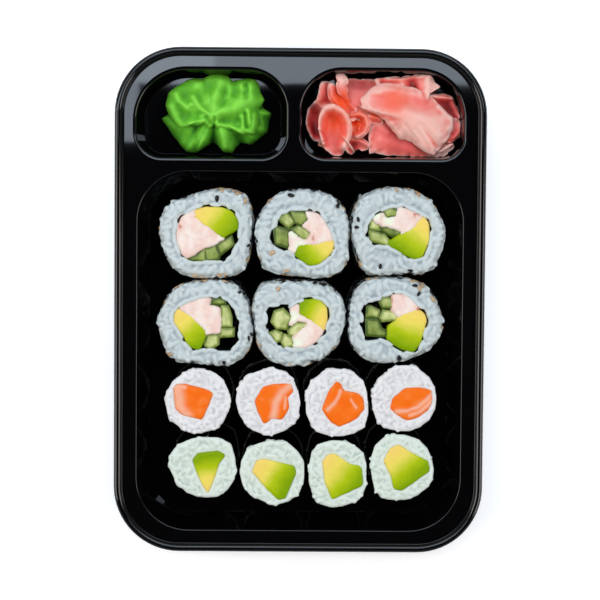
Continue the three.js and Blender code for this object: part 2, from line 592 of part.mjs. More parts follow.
// Rice round the hole: a bumpy side, a rounded cut edge and a nearly flat cut face
function uramakiRice(roll, hole, random) {
  const level = (inset, z) => bumpy(loopOf(roll.side, inset, z, RING_STEPS), GRAIN, random);
  const between = (part, z) => loopOf(
    (angle) => THREE.MathUtils.lerp(roll.side(angle), hole(angle), part), 0, z, RING_STEPS);
  const rice = ringLoft([
    loopOf(roll.side, RICE_FOOT_INSET, ROLL_FOOT, RING_STEPS),
    ...[...RICE_SIDE, RICE_EDGE].map(([inset, z]) => level(inset, z)),
    bumpy(between(RICE_CROWN, ROLL_TOP), GRAIN, random),
    loopOf(hole, 0, ROLL_TOP - RICE_HOLE_DROP, RING_STEPS),
    loopOf(hole, 0, ROLL_FOOT, RING_STEPS),
  ]);
  return largestBody(united([rice, ...seeds(roll, random)]));
}

function addUramaki(roll, number) {
  const random = randomFrom(number * 7919);
  const name = `uramaki_${number}`;
  const hole = radiusOf(fitted(roll.hole));
  const noriTop = ROLL_TOP - LINING_DROP;
  const [foot, top] = [ROLL_FOOT, ROLL_TOP - FILLING_DROP];
  const [under, over] = [foot - CUTTER_REACH, top + CUTTER_REACH];
  const nori = ringLoft([
    loopOf(hole, GAP, foot, RING_STEPS), loopOf(hole, GAP, noriTop, RING_STEPS),
    loopOf(hole, GAP + NORI, noriTop, RING_STEPS), loopOf(hole, GAP + NORI, foot, RING_STEPS),
  ]);
  const core = solidOf(prism(loopOf(hole, GAP * 2 + NORI, 0, RING_STEPS), under, over));
  const filled = (outline) => prism(anticlockwise(fitted(outline)), foot, top);
  const clearOf = (outline) => prism(grown(anticlockwise(fitted(outline)), GAP), under, over);
  const avocado = solidOf(filled(roll.avocado));
  const sticks = united(roll.cucumber.map(filled)).subtract(solidOf(clearOf(roll.avocado)));
  const crab = solidOf(prism(grown(anticlockwise(fitted(roll.crab)), CRAB_SPREAD), foot, top))
    .subtract(united([roll.avocado, ...roll.cucumber].map(clearOf)));
  piece(`${name}_rice`, 'rice', uramakiRice(roll, hole, random), roll.at);
  piece(`${name}_nori`, 'nori', nori, roll.at);
  piece(`${name}_avocado`, 'avocado', largestBody(avocado.intersect(core)), roll.at);
  piece(`${name}_cucumber`, 'cucumber', largestBody(sticks.intersect(core)), roll.at);
  piece(`${name}_crab`, 'crab', largestBody(crab.intersect(core)), roll.at);
}

// A small roll: the rice swells over the top edge of the nori wrapped round it
function addMaki(name, filling, roll, seed) {
  const random = randomFrom(seed);
  const noriTop = ROLL_TOP - WRAP_DROP;
  const inside = GRAIN + GAP + NORI + GAP;
  const wrap = loopOf(roll.side, GRAIN + GAP, 0, MAKI_STEPS);
  const lining = loopOf(roll.side, GRAIN + GAP + NORI, 0, MAKI_STEPS);
  const at = (loop, z) => loop.map(([x, y]) => [x, y, z]);
  const nori = ringLoft([
    at(wrap, ROLL_FOOT), at(wrap, noriTop), at(lining, noriTop), at(lining, ROLL_FOOT),
  ]);
  const level = (inset, z) => bumpy(loopOf(roll.side, inset, z, MAKI_STEPS), GRAIN, random);
  const rice = loft([
    loopOf(roll.side, inside, ROLL_FOOT, MAKI_STEPS),
    loopOf(roll.side, inside, noriTop + SWELL_START, MAKI_STEPS),
    ...SWELL.map(([inset, z]) => level(inset, z)),
  ]);
  const within = (cover) => solidOf(
    prism(loopOf(roll.side, inside + cover, 0, MAKI_STEPS), 0, TRAY_HEIGHT));
  const outline = anticlockwise(fitted(roll.filling));
  const middle = solidOf(prism(outline, ROLL_FOOT, ROLL_TOP - FILLING_DROP))
    .intersect(within(FILLING_COVER));
  const room = solidOf(prism(grown(outline, GAP), ROLL_FOOT - CUTTER_REACH, ROLL_TOP + CUTTER_REACH))
    .intersect(within(ROOM_COVER));
  piece(`${name}_rice`, 'rice', largestBody(solidOf(rice).subtract(room)), roll.at);
  piece(`${name}_nori`, 'nori', nori, roll.at);
  piece(`${name}_${filling}`, filling, largestBody(middle), roll.at);
}

// ---- Wasabi and ginger ----

// 1 along each ridge of the knob, -1 in the valleys halfway between
function foldAt(angle) {
  const degrees = THREE.MathUtils.radToDeg(angle);
  const after = WASABI_RIDGES.findIndex((ridge) => ridge > degrees);
  const [first, last] = [WASABI_RIDGES[0], WASABI_RIDGES.at(-1)];
  const from = after > 0 ? WASABI_RIDGES[after - 1] : last - (after === 0 ? 360 : 0);
  const to = after >= 0 ? WASABI_RIDGES[after] : first + 360;
  return Math.cos((TAU * (degrees - from)) / (to - from));
}

function wasabiGeometry() {
  const radius = radiusOf(WASABI_OUTLINE);
  const foot = WASABI_POCKET.floor + GAP;
  return loft(WASABI_LEVELS.map(([reach, rise, depth]) => {
    const lift = Math.min(1, rise / FOLDS_FULL);
    return Array.from({ length: WASABI_STEPS }, (_, i) => {
      const angle = (i * TAU) / WASABI_STEPS;
      const fold = depth * FOLD_SHARE * foldAt((angle + TWIST * reach) % TAU);
      const out = radius(angle) * reach - depth * FOLD_SHARE + fold;
      return [out * Math.cos(angle), out * Math.sin(angle), foot + rise * WASABI_HEIGHT + fold * lift];
    });
  }));
}

// A slice as a thin sheet: an oval bent about its length, both faces split alike
function sliceGeometry({ at, size, turn, lean, curl, steps }) {
  const [length, width] = size;
  const [along, across] = steps;
  const bend = THREE.MathUtils.degToRad(curl);
  const bendRadius = width / bend;
  const place = new THREE.Matrix4().makeTranslation(at[0], at[1], GINGER_POCKET.floor + at[2])
    .multiply(new THREE.Matrix4().makeRotationZ(THREE.MathUtils.degToRad(turn)))
    .multiply(new THREE.Matrix4().makeRotationY(THREE.MathUtils.degToRad(lean)));
  const point = (u, v, depth) => {
    const x = (u * Math.sqrt(1 - (v * v) / 2) * length) / 2;
    const sweep = (v * Math.sqrt(1 - (u * u) / 2) * bend) / 2;
    const wave = SLICE_WAVE * Math.sin(SLICE_WAVES[0] * u + SLICE_WAVES[1] * v);
    const radius = bendRadius - depth + wave;
    const bent = [x, radius * Math.sin(sweep), radius * Math.cos(sweep) - bendRadius];
    return new THREE.Vector3(...bent).applyMatrix4(place).toArray();
  };
  const faces = [];
  const points = [];
  const index = (side, i, j) => side * (along + 1) * (across + 1) + i * (across + 1) + j;
  for (const side of [0, 1]) {
    for (let i = 0; i <= along; i += 1) {
      for (let j = 0; j <= across; j += 1) {
        points.push(point((2 * i) / along - 1, (2 * j) / across - 1, side * GINGER_SLICE));
      }
    }
  }
  for (let i = 0; i < along; i += 1) {
    for (let j = 0; j < across; j += 1) {
      const [near, nearNext] = [index(0, i, j), index(0, i + 1, j)];
      const [nearEnd, nearSide] = [index(0, i + 1, j + 1), index(0, i, j + 1)];
      const [far, farNext] = [index(1, i, j), index(1, i + 1, j)];
      const [farEnd, farSide] = [index(1, i + 1, j + 1), index(1, i, j + 1)];
      faces.push([near, nearNext, nearEnd], [near, nearEnd, nearSide]);
      faces.push([far, farEnd, farNext], [far, farSide, farEnd]);
    }
  }
  const edge = [];
  for (let i = 0; i < along; i += 1) {
    edge.push([i, 0]);
  }
  for (let j = 0; j < across; j += 1) {
    edge.push([along, j]);
  }
  for (let i = along; i > 0; i -= 1) {
    edge.push([i, across]);
  }
  for (let j = across; j > 0; j -= 1) {
    edge.push([0, j]);
  }
  edge.forEach(([i, j], k) => {
    const [m, n] = edge[(k + 1) % edge.length];
    faces.push([index(0, i, j), index(1, i, j), index(1, m, n)]);
    faces.push([index(0, i, j), index(1, m, n), index(0, m, n)]);
  });
  return geometryOf(points, faces);
}

function gingerGeometry() {
  const foot = GINGER_POCKET.floor + GAP;
  const core = anticlockwise(GINGER_CORE);
  const [footInset, topInset] = GINGER_CORE_INSETS;
  const heap = loft([
    grown(core, -footInset).map(([x, y]) => [x, y, foot]),
    core.map(([x, y]) => [x, y, foot + GINGER_CORE_HEIGHT / 2]),
    grown(core, -topInset).map(([x, y]) => [x, y, foot + GINGER_CORE_HEIGHT]),
  ]);
  const pocket = solidOf(pocketSolid(GINGER_POCKET, -GAP, TRAY_HEIGHT));
  return largestBody(united([heap, ...GINGER_SLICES.map(sliceGeometry)]).intersect(pocket));
}

piece('tray', 'tray', trayGeometry());
URAMAKI.forEach((roll, i) => addUramaki(roll, i + 1));
SALMON_MAKI.forEach((roll, i) => addMaki(`salmon_maki_${i + 1}`, 'salmon', roll, i + 11));
AVOCADO_MAKI.forEach((roll, i) => addMaki(`avocado_maki_${i + 1}`, 'avocado', roll, i + 21));
piece('wasabi', 'wasabi', wasabiGeometry(), WASABI_AT);
piece('ginger', 'ginger', gingerGeometry());

export default packedTray;
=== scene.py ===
import math

import bpy
import numpy as np
from mathutils import Euler, Matrix, Vector, noise
from mathutils.bvhtree import BVHTree


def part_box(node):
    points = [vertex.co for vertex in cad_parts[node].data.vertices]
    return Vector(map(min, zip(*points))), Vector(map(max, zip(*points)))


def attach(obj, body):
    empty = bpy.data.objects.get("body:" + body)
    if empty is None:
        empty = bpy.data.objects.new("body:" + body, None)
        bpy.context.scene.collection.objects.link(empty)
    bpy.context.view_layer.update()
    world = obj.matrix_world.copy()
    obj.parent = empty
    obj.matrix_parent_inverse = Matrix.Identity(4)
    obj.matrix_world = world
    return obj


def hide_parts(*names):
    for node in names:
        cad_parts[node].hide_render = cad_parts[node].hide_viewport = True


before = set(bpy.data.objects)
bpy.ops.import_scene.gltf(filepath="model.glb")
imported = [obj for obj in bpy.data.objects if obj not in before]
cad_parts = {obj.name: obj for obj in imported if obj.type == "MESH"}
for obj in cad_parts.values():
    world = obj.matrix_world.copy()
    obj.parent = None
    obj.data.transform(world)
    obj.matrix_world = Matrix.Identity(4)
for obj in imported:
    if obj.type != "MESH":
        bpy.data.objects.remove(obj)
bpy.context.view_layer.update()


# ---- Camera ----
# The tray is looked down on through a long lens from 0.7 m, almost square on: the lens
# leans a little to the -Y end and to the +X side.

mm = 0.001
aim = Vector((0.15, 0.72, 28.5)) * mm
lens_lean = (-2.67, -0.68, 0.47)  # degrees about X, Y and Z
lens_distance = 700 * mm
lens_turn = Euler([math.radians(lean) for lean in lens_lean])
lens_back = lens_turn.to_matrix() @ Vector((0, 0, lens_distance))
bpy.ops.object.camera_add(location=aim + lens_back, rotation=lens_turn)
camera = bpy.context.object
camera.data.sensor_width = 36
camera.data.lens = 95.5
bpy.context.scene.camera = camera


# ---- Floor and light ----
# A white table, a bright room low down all round, and lamps that hang beyond the +Y end. It is
# dark straight overhead, so that the level plastic stays black, and the lamps show in it.

def linear(*channels):
    """A colour given as a screen shows it, from 0 to 255, as light"""
    parts = [c / 255 for c in channels]
    return tuple(p / 12.92 if p <= 0.04045 else ((p + 0.055) / 1.055) ** 2.4 for p in parts) + (1,)


def unselect():
    if bpy.context.object and bpy.context.object.mode == "EDIT":
        bpy.ops.object.mode_set(mode="OBJECT")
    bpy.ops.object.select_all(action="DESELECT")


def mottle_group():
    """Soft noise on a piece, as a mask from 0 to 1 and as the bumps that it makes"""
    group = bpy.data.node_groups.new("mottle", "ShaderNodeTree")
    sockets = (
        ("Scale", "NodeSocketFloat", 100), ("Detail", "NodeSocketFloat", 4),
        ("Relief", "NodeSocketFloat", 0.1 * mm), ("Stretch", "NodeSocketVector", (1, 1, 1)))
    for name, kind, value in sockets:
        group.interface.new_socket(name, in_out="INPUT", socket_type=kind).default_value = value
    group.interface.new_socket("Mask", in_out="OUTPUT", socket_type="NodeSocketFloat")
    group.interface.new_socket("Normal", in_out="OUTPUT", socket_type="NodeSocketVector")
    nodes, link = group.nodes, group.links.new
    given, result = nodes.new("NodeGroupInput"), nodes.new("NodeGroupOutput")
    place = nodes.new("ShaderNodeTexCoord")
    stretched = nodes.new("ShaderNodeVectorMath")
    stretched.operation = "MULTIPLY"
    cloud = nodes.new("ShaderNodeTexNoise")
    bumps = nodes.new("ShaderNodeBump")
    link(place.outputs["Object"], stretched.inputs[0])
    link(given.outputs["Stretch"], stretched.inputs[1])
    link(stretched.outputs["Vector"], cloud.inputs["Vector"])
    link(given.outputs["Scale"], cloud.inputs["Scale"])
    link(given.outputs["Detail"], cloud.inputs["Detail"])
    link(given.outputs["Relief"], bumps.inputs["Distance"])
    link(cloud.outputs["Fac"], bumps.inputs["Height"])
    link(cloud.outputs["Fac"], result.inputs["Mask"])
    link(bumps.outputs["Normal"], result.inputs["Normal"])
    return group


mottle = mottle_group()


class Finish:
    """A material under way: its shader, and the masks and colours that drive it"""

    def __init__(self, name, colour, roughness, shine=0.5):
        self.material = bpy.data.materials.new(name)
        self.material.use_nodes = True
        self.nodes = self.material.node_tree.nodes
        self.link = self.material.node_tree.links.new
        self.shader = self.nodes["Principled BSDF"].inputs
        self.shader["Base Color"].default_value = colour
        self.shader["Roughness"].default_value = roughness
        self.shader["Specular IOR Level"].default_value = shine

    def mottled(self, scale, detail, relief, stretch=(1, 1, 1)):
        """Bumps the surface by the shared mottle, relief in mm, and gives its mask"""
        node = self.nodes.new("ShaderNodeGroup")
        node.node_tree = mottle
        node.inputs["Scale"].default_value = scale
        node.inputs["Detail"].default_value = detail
        node.inputs["Relief"].default_value = relief * mm
        node.inputs["Stretch"].default_value = stretch
        self.link(node.outputs["Normal"], self.shader["Normal"])
        return node.outputs["Mask"]

    def painted(self, name):
        """The mask that is stored at the points of a piece"""
        node = self.nodes.new("ShaderNodeAttribute")
        node.attribute_name = name
        return node.outputs["Fac"]

    def sum(self, mask, share, other):
        """share × mask + other, where other is a mask or a number"""
        node = self.nodes.new("ShaderNodeMath")
        node.operation = "MULTIPLY_ADD"
        self.link(mask, node.inputs[0])
        node.inputs[1].default_value = share
        if isinstance(other, (int, float)):
            node.inputs[2].default_value = other
        else:
            self.link(other, node.inputs[2])
        return node.outputs["Value"]

    def shaded(self, mask, *stops):
        """The colour that a mask picks from stops, each a place from 0 to 1 and a colour"""
        node = self.nodes.new("ShaderNodeValToRGB")
        elements = node.color_ramp.elements
        for element, (place, colour) in zip(elements, (stops[0], stops[-1])):
            element.position = place
            element.color = colour
        for place, colour in stops[1:-1]:
            elements.new(place).color = colour
        self.link(mask, node.inputs["Fac"])
        return node.outputs["Color"]

    def mixed(self, mask, colour, other):
        """A colour that gives way to another one as a mask goes from 0 to 1"""
        node = self.nodes.new("ShaderNodeMix")
        node.data_type = "RGBA"
        self.link(mask, node.inputs["Factor"])
        for socket, value in (("A", colour), ("B", other)):
            if isinstance(value, tuple):
                node.inputs[socket].default_value = value
            else:
                self.link(value, node.inputs[socket])
        return node.outputs["Result"]

    def coloured(self, colour):
        self.link(colour, self.shader["Base Color"])

    def translucent(self, weight, depth, radii):
        """Light sinks in to a depth in mm, by each colour's share of it"""
        self.shader["Subsurface Weight"].default_value = weight
        self.shader["Subsurface Scale"].default_value = depth * mm
        self.shader["Subsurface Radius"].default_value = radii


unselect()
bpy.ops.mesh.primitive_plane_add(size=4)
table = bpy.context.object
table.name = "table"
paper = Finish("white_table", linear(244, 244, 246), roughness=0.6)
cloudy = paper.mottled(scale=9, detail=2, relief=0.05)
paper.coloured(paper.mixed(cloudy, linear(243, 243, 245), linear(247, 247, 248)))
paper.shader["Emission Color"].default_value = (1, 1, 1, 1)
paper.shader["Emission Strength"].default_value = 0.4
table.data.materials.append(paper.material)

room = bpy.data.worlds.new("room")
bpy.context.scene.world = room
room.use_nodes = True
nodes = room.node_tree.nodes
link = room.node_tree.links.new
heading = nodes.new("ShaderNodeTexCoord").outputs["Generated"]
split = nodes.new("ShaderNodeSeparateXYZ")
link(heading, split.inputs[0])
rise = nodes.new("ShaderNodeValToRGB")
rise.color_ramp.interpolation = "EASE"
rise.color_ramp.elements[0].position = 0.42
rise.color_ramp.elements[0].color = (0.95, 0.98, 1.0, 1)
rise.color_ramp.elements[1].position = 0.93
rise.color_ramp.elements[1].color = (0.004, 0.004, 0.005, 1)
link(split.outputs["Z"], rise.inputs["Fac"])
link(rise.outputs["Color"], nodes["Background"].inputs["Color"])
nodes["Background"].inputs["Strength"].default_value = 0.26

bpy.context.scene.view_settings.view_transform = "Standard"


def lamp(name, place, towards, width, depth, glow, colour):
    """A flat soft lamp at a place, turned to face a point; glow is how bright its face is"""
    unselect()
    lamp_turn = (Vector(towards) - Vector(place)).to_track_quat("-Z", "Y").to_euler()
    bpy.ops.object.light_add(type="AREA", location=place, rotation=lamp_turn)
    light = bpy.context.object
    light.name = name
    light.data.shape = "RECTANGLE"
    light.data.size = width
    light.data.size_y = depth
    light.data.energy = glow * math.pi * width * depth
    light.data.color = colour


# the lamps are placed in metres
lamp_height = 1.5
far_edge = 0.226  # where the strip lamps begin, which sets where their reflection on the deck ends
strip_depth = 0.16
end_depth = 0.08
cool = (0.8, 0.91, 1.05)
warm = (1, 0.97, 0.94)
strip_y = far_edge + strip_depth / 2
end_y = far_edge - end_depth / 2
# each lamp that hangs level: its name, its place in X and Y, its width and depth, and its glow
hanging_lamps = (
    ("strip_right", 0.35, strip_y, 0.9, strip_depth, 4.6),
    ("strip_left", -0.5, strip_y, 0.8, strip_depth, 6.4),
    ("strip_end", -0.265, end_y, 0.124, end_depth, 4.8),
    ("far_lamp", 0, 1.16, 1.8, 0.92, 4))
for name, x, y, width, depth, glow in hanging_lamps:
    lamp(name, (x, y, lamp_height), (x, y, 0), width, depth, glow, cool)
lamp("left_lamp", (-1.1, -0.1, 0.9), (0, 0, 0), 0.8, 0.9, 3.9, warm)
lamp("right_lamp", (1.1, -0.3, 0.9), (0, 0, 0), 0.8, 0.9, 3.5, warm)


# ---- Tray ----
# A shallow black tray formed from one 0.8 mm sheet of plastic: a turned-down lip, a raised
# bead, a level deck and three pockets. Each is drawn in from a rounded outline, step by
# step, the deck is filled in round the pockets, and the sheet then gets its thickness.

sheet_wall = 0.8
tray_sides = (-81.5, 81.5, -111, 111)  # -X, +X, -Y and +Y
tray_corner = 29
tray_top = 30
deck_height = 28.4
lip_height = 26.8
corner_steps = 16
# each pocket: its sides at the mouth, its corners' radii from +X+Y round, its floor's height, how
# far its walls lean in on the way down, and the round edge of its mouth
pocket_mouths = {
    "main": dict(sides=(-71.4, 71.5, -101.3, 56.9), radii=(22, 22, 23, 23),
                 floor=0.8, draft=3.4, mouth=0.5),
    "wasabi": dict(sides=(-72, -6.5, 62.8, 101), radii=(17, 22, 11, 11),
                   floor=12.6, draft=2.2, mouth=1),
    "ginger": dict(sides=(0, 71.6, 63, 101.2), radii=(20, 18, 11, 10),
                   floor=12.6, draft=2.2, mouth=1),
}
mouth_lead = 0.6  # level sheet between a pocket's mouth and the deck's other faces
floor_round = 0.06
floor_lead = 0.8


def rounded_plate(name, sides, radii, height):
    """A level face with its corners rounded; the radii go round from +X+Y"""
    left, right, bottom, top = sides
    unselect()
    bpy.ops.mesh.primitive_plane_add(size=1)
    plate = bpy.context.object
    plate.name = name
    plate.scale = ((right - left) * mm, (top - bottom) * mm, 1)
    plate.location = ((left + right) / 2 * mm, (bottom + top) / 2 * mm, height * mm)
    bpy.ops.object.transform_apply()
    corners = [(right, top), (left, top), (left, bottom), (right, bottom)]
    for (x, y), radius in zip(corners, radii):
        corner = Vector((x, y, height)) * mm
        bpy.ops.object.mode_set(mode="EDIT")
        bpy.ops.mesh.select_mode(type="VERT")
        bpy.ops.mesh.select_all(action="DESELECT")
        bpy.ops.object.mode_set(mode="OBJECT")
        for vertex in plate.data.vertices:
            vertex.select = (vertex.co - corner).length < 0.01 * mm
        bpy.ops.object.mode_set(mode="EDIT")
        bpy.ops.mesh.bevel(offset=radius * mm, segments=corner_steps, affect="VERTICES")
        bpy.ops.object.mode_set(mode="OBJECT")
    return plate


def arc(centre, radius, start, end, steps):
    """Steps of a round edge, as (inset, height) pairs"""
    turns = [math.radians(start + (end - start) * i / steps) for i in range(steps + 1)]
    return [(centre[0] + radius * math.cos(a), centre[1] + radius * math.sin(a)) for a in turns]


def draw_in(profile):
    """Draws the newest plate's face inwards and up or down through the steps of a profile"""
    bpy.ops.object.mode_set(mode="EDIT")
    bpy.ops.mesh.select_mode(type="FACE")
    bpy.ops.mesh.select_all(action="SELECT")
    for (inset, height), (next_inset, next_height) in zip(profile, profile[1:]):
        thickness = max(0, next_inset - inset) * mm
        bpy.ops.mesh.inset(thickness=thickness, depth=(next_height - height) * mm)


def finish_modifiers(piece):
    unselect()
    piece.select_set(True)
    bpy.context.view_layer.objects.active = piece
    for modifier in list(piece.modifiers):
        bpy.ops.object.modifier_apply(modifier=modifier.name)


def smooth(piece):
    for face in piece.data.polygons:
        face.use_smooth = True


def thicken(sheet, thickness):
    """Gives a sheet its thickness in mm, behind its faces"""
    wall = sheet.modifiers.new("wall", "SOLIDIFY")
    wall.thickness = thickness * mm
    wall.offset = -1
    return wall


# a half-round bead runs along the lip, and a small fillet joins it to the deck
bead_radius = 1.7
bead_fillet = 0.35
deck_start = 3.8  # where the fillet ends on the deck, in from the tray's sides
bead_profile = [
    (0, lip_height), *arc((bead_radius, tray_top - bead_radius), bead_radius, 180, 20, 22),
    *arc((deck_start, deck_height + bead_fillet), bead_fillet, 180, 270, 5),
    (deck_start + 0.7, deck_height),
]
rim = rounded_plate("tray_shell", tray_sides, [tray_corner] * 4, lip_height)
draw_in(bead_profile)
bpy.ops.mesh.delete(type="ONLY_FACE")
bpy.ops.object.mode_set(mode="OBJECT")
pockets = []
for name, pocket in pocket_mouths.items():
    edge = pocket["mouth"]
    flare = edge + mouth_lead
    left, right, bottom, top = pocket["sides"]
    mouth = (left - flare, right + flare, bottom - flare, top + flare)
    foot = (flare + pocket["draft"] + floor_round, pocket["floor"] + floor_round)
    profile = [
        (0, deck_height), *arc((mouth_lead, deck_height - edge), edge, 90, 0, 5),
        *arc(foot, floor_round, 180, 270, 7), (foot[0] + floor_lead, pocket["floor"]),
    ]
    plate = rounded_plate(name, mouth, [radius + flare for radius in pocket["radii"]], deck_height)
    draw_in(profile)
    bpy.ops.object.mode_set(mode="OBJECT")
    pockets.append(plate)
unselect()
for plate in [*pockets, rim]:
    plate.select_set(True)
bpy.context.view_layer.objects.active = rim
bpy.ops.object.join()
bpy.ops.object.mode_set(mode="EDIT")
bpy.ops.mesh.select_mode(type="EDGE")
bpy.ops.mesh.select_all(action="DESELECT")
bpy.ops.mesh.select_non_manifold(extend=False)
bpy.ops.object.mode_set(mode="OBJECT")
for edge in rim.data.edges:
    heights = [rim.data.vertices[i].co.z for i in edge.vertices]
    edge.select = edge.select and min(heights) > (lip_height + deck_height) / 2 * mm
bpy.ops.object.mode_set(mode="EDIT")
bpy.ops.mesh.fill(use_beauty=False)
bpy.ops.object.mode_set(mode="OBJECT")
if any(face.select and face.normal.z < 0 for face in rim.data.polygons):
    bpy.ops.object.mode_set(mode="EDIT")
    bpy.ops.mesh.flip_normals()
    bpy.ops.object.mode_set(mode="OBJECT")
thicken(rim, sheet_wall).use_even_offset = True
rim.modifiers.new("flat_faces", "WEIGHTED_NORMAL").keep_sharp = True
smooth(rim)
finish_modifiers(rim)
for vertex in rim.data.vertices:
    vertex.co.z = max(vertex.co.z, 0)

plastic = Finish("black_plastic", linear(6, 6, 7), roughness=0.1)
haze = plastic.mottled(scale=30, detail=2, relief=0.02)
gloss = plastic.sum(haze, 0.04, 0.01)
plastic.link(gloss, plastic.shader["Roughness"])
rim.data.materials.append(plastic.material)
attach(rim, "root")
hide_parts("tray")


# ---- Rice of the inside-out rolls ----
# Short-grain rice pressed round a sheet of nori, cut straight across. Its body is a soft
# core, and real grains lie in its side and in the cut face, sheared level by the knife.

grain_size = (2.75, 1.22, 1.05)  # half length, half width, half thickness
grain_gap = 2.1
grain_tries = 3600
grain_skin = 0.43  # the faces of the skin that the grains and their core grow together into
seed_gap = 1.9
seed_tries = 4200
seed_foot = 4  # seeds lie from this height up
cut_height = 28
level_face = 0.6  # a face whose normal rises by more than this is taken as level
ring_step = 0.13  # between the grains round the hole, in radians


def resurface(piece, voxel, smoothing):
    """Gives a piece small even faces, which close all gaps in it, and soft edges"""
    even = piece.modifiers.new("even", "REMESH")
    even.mode = "VOXEL"
    even.voxel_size = voxel * mm
    even.use_smooth_shade = True
    soft = piece.modifiers.new("soft", "SMOOTH")
    soft.factor = 0.5
    soft.iterations = smoothing


def even_copy(node, name, voxel, smoothing, shrink=0):
    """A plain solid made again in small even faces with soft edges"""
    unselect()
    copy = bpy.data.objects.new(name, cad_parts[node].data.copy())
    bpy.context.collection.objects.link(copy)
    copy.data.materials.clear()
    copy.select_set(True)
    bpy.context.view_layer.objects.active = copy
    bpy.ops.object.mode_set(mode="EDIT")
    bpy.ops.mesh.select_all(action="SELECT")
    bpy.ops.mesh.remove_doubles(threshold=0.001 * mm)
    bpy.ops.object.mode_set(mode="OBJECT")
    resurface(copy, voxel, smoothing)
    if shrink:
        slim = copy.modifiers.new("slim", "DISPLACE")
        slim.mid_level = 0
        slim.strength = -shrink * mm
    finish_modifiers(copy)
    return copy


def roughen(piece, size, depth):
    """Lumps of a size pushed in and out of a piece's surface"""
    lumps = bpy.data.textures.new(piece.name + "_lumps", "CLOUDS")
    lumps.noise_scale = size * mm
    push = piece.modifiers.new("lumps", "DISPLACE")
    push.texture = lumps
    push.strength = depth * mm
    finish_modifiers(piece)
    bpy.data.textures.remove(lumps)


def middle_of(node):
    low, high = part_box(node)
    return np.array((low + high) / 2)[:2]


def seen_from_above(piece):
    """The places of a piece's points in X and Y"""
    return np.array([vertex.co[:2] for vertex in piece.data.vertices])


def reach_of(node, centre):
    """How far a piece reaches sideways from a middle, in any direction"""
    spots = seen_from_above(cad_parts[node]) - centre
    angles = np.round(np.arctan2(spots[:, 1], spots[:, 0]), 2)
    radii = np.hypot(spots[:, 0], spots[:, 1])
    farthest = {}
    for angle, radius in zip(angles, radii):
        farthest[angle] = max(radius, farthest.get(angle, 0))
    turns = np.array(sorted(farthest))
    spans = np.array([farthest[turn] for turn in turns])
    return lambda angle: np.interp(angle, turns, spans, period=2 * math.pi)


def spread(piece, spacing, tries, random, wanted):
    """Places on a piece's surface at least a spacing apart: [(point, normal)]"""
    mesh = piece.data
    mesh.calc_loop_triangles()
    corners = np.empty(len(mesh.vertices) * 3)
    mesh.vertices.foreach_get("co", corners)
    order = np.empty(len(mesh.loop_triangles) * 3, int)
    mesh.loop_triangles.foreach_get("vertices", order)
    corners = corners.reshape(-1, 3)[order.reshape(-1, 3)]
    first, second = corners[:, 1] - corners[:, 0], corners[:, 2] - corners[:, 0]
    cross = np.cross(first, second)
    areas = np.linalg.norm(cross, axis=1)
    picks = random.choice(len(areas), tries, p=areas / areas.sum())
    u, v = random.random((2, tries))
    u, v = np.where(u + v > 1, 1 - u, u), np.where(u + v > 1, 1 - v, v)
    points = corners[picks, 0] + first[picks] * u[:, None] + second[picks] * v[:, None]
    normals = cross[picks] / areas[picks][:, None]
    cells, kept = {}, []
    for point, normal in zip(points, normals):
        cell = tuple((point / (spacing * mm)).astype(int))
        near = [other for dx in (-1, 0, 1) for dy in (-1, 0, 1) for dz in (-1, 0, 1)
                for other in cells.get((cell[0] + dx, cell[1] + dy, cell[2] + dz), ())]
        if all(np.linalg.norm(point - other) > spacing * mm for other in near):
            cells.setdefault(cell, []).append(point)
            if wanted(point, normal):
                kept.append((point, normal))
    return kept


def seated(point, normal, along, tilt, sink, size):
    """The 3×4 placement of a small shape that lies on a surface, its length along a direction"""
    normal = Vector(normal)
    across = normal.cross(Vector(along)).normalized()
    axes = Matrix((across.cross(normal), across, normal)).transposed()
    turned = np.array(Matrix.Rotation(tilt, 3, across) @ axes) * size
    return np.column_stack([turned, np.array(point) - np.array(normal) * sink * mm])


def any_way(random):
    return random.normal(size=3)


def scattered(name, shapes, places, random, checked=lambda points: points):
    """One mesh of many small shapes, each at its own place; checked may move or drop one"""
    points, faces, count = [], [], 0
    for placement in places:
        shape_points, shape_faces = shapes[random.integers(len(shapes))]
        moved = checked(shape_points @ placement[:, :3].T + placement[:, 3])
        if moved is None:
            continue
        points.append(moved)
        faces.extend([tuple(i + count for i in face) for face in shape_faces])
        count += len(moved)
    mesh = bpy.data.meshes.new(name)
    mesh.from_pydata(np.concatenate(points).tolist(), [], faces)
    piece = bpy.data.objects.new(name, mesh)
    bpy.context.collection.objects.link(piece)
    smooth(piece)
    return piece


def joined(name, pieces):
    unselect()
    for piece in pieces:
        piece.select_set(True)
    bpy.context.view_layer.objects.active = pieces[0]
    bpy.ops.object.join()
    whole = bpy.context.object
    whole.name = name
    whole.data.name = name
    return whole


def fused(name, pieces, voxel, smoothing):
    """Pieces that overlap, grown together into one skin with soft creases"""
    whole = joined(name, pieces)
    resurface(whole, voxel, smoothing)
    finish_modifiers(whole)
    return whole


def paint(piece, name, values):
    """Stores a number at each point of a piece, for its material to read"""
    layer = piece.data.attributes.new(name, "FLOAT", "POINT")
    layer.data.foreach_set("value", values)


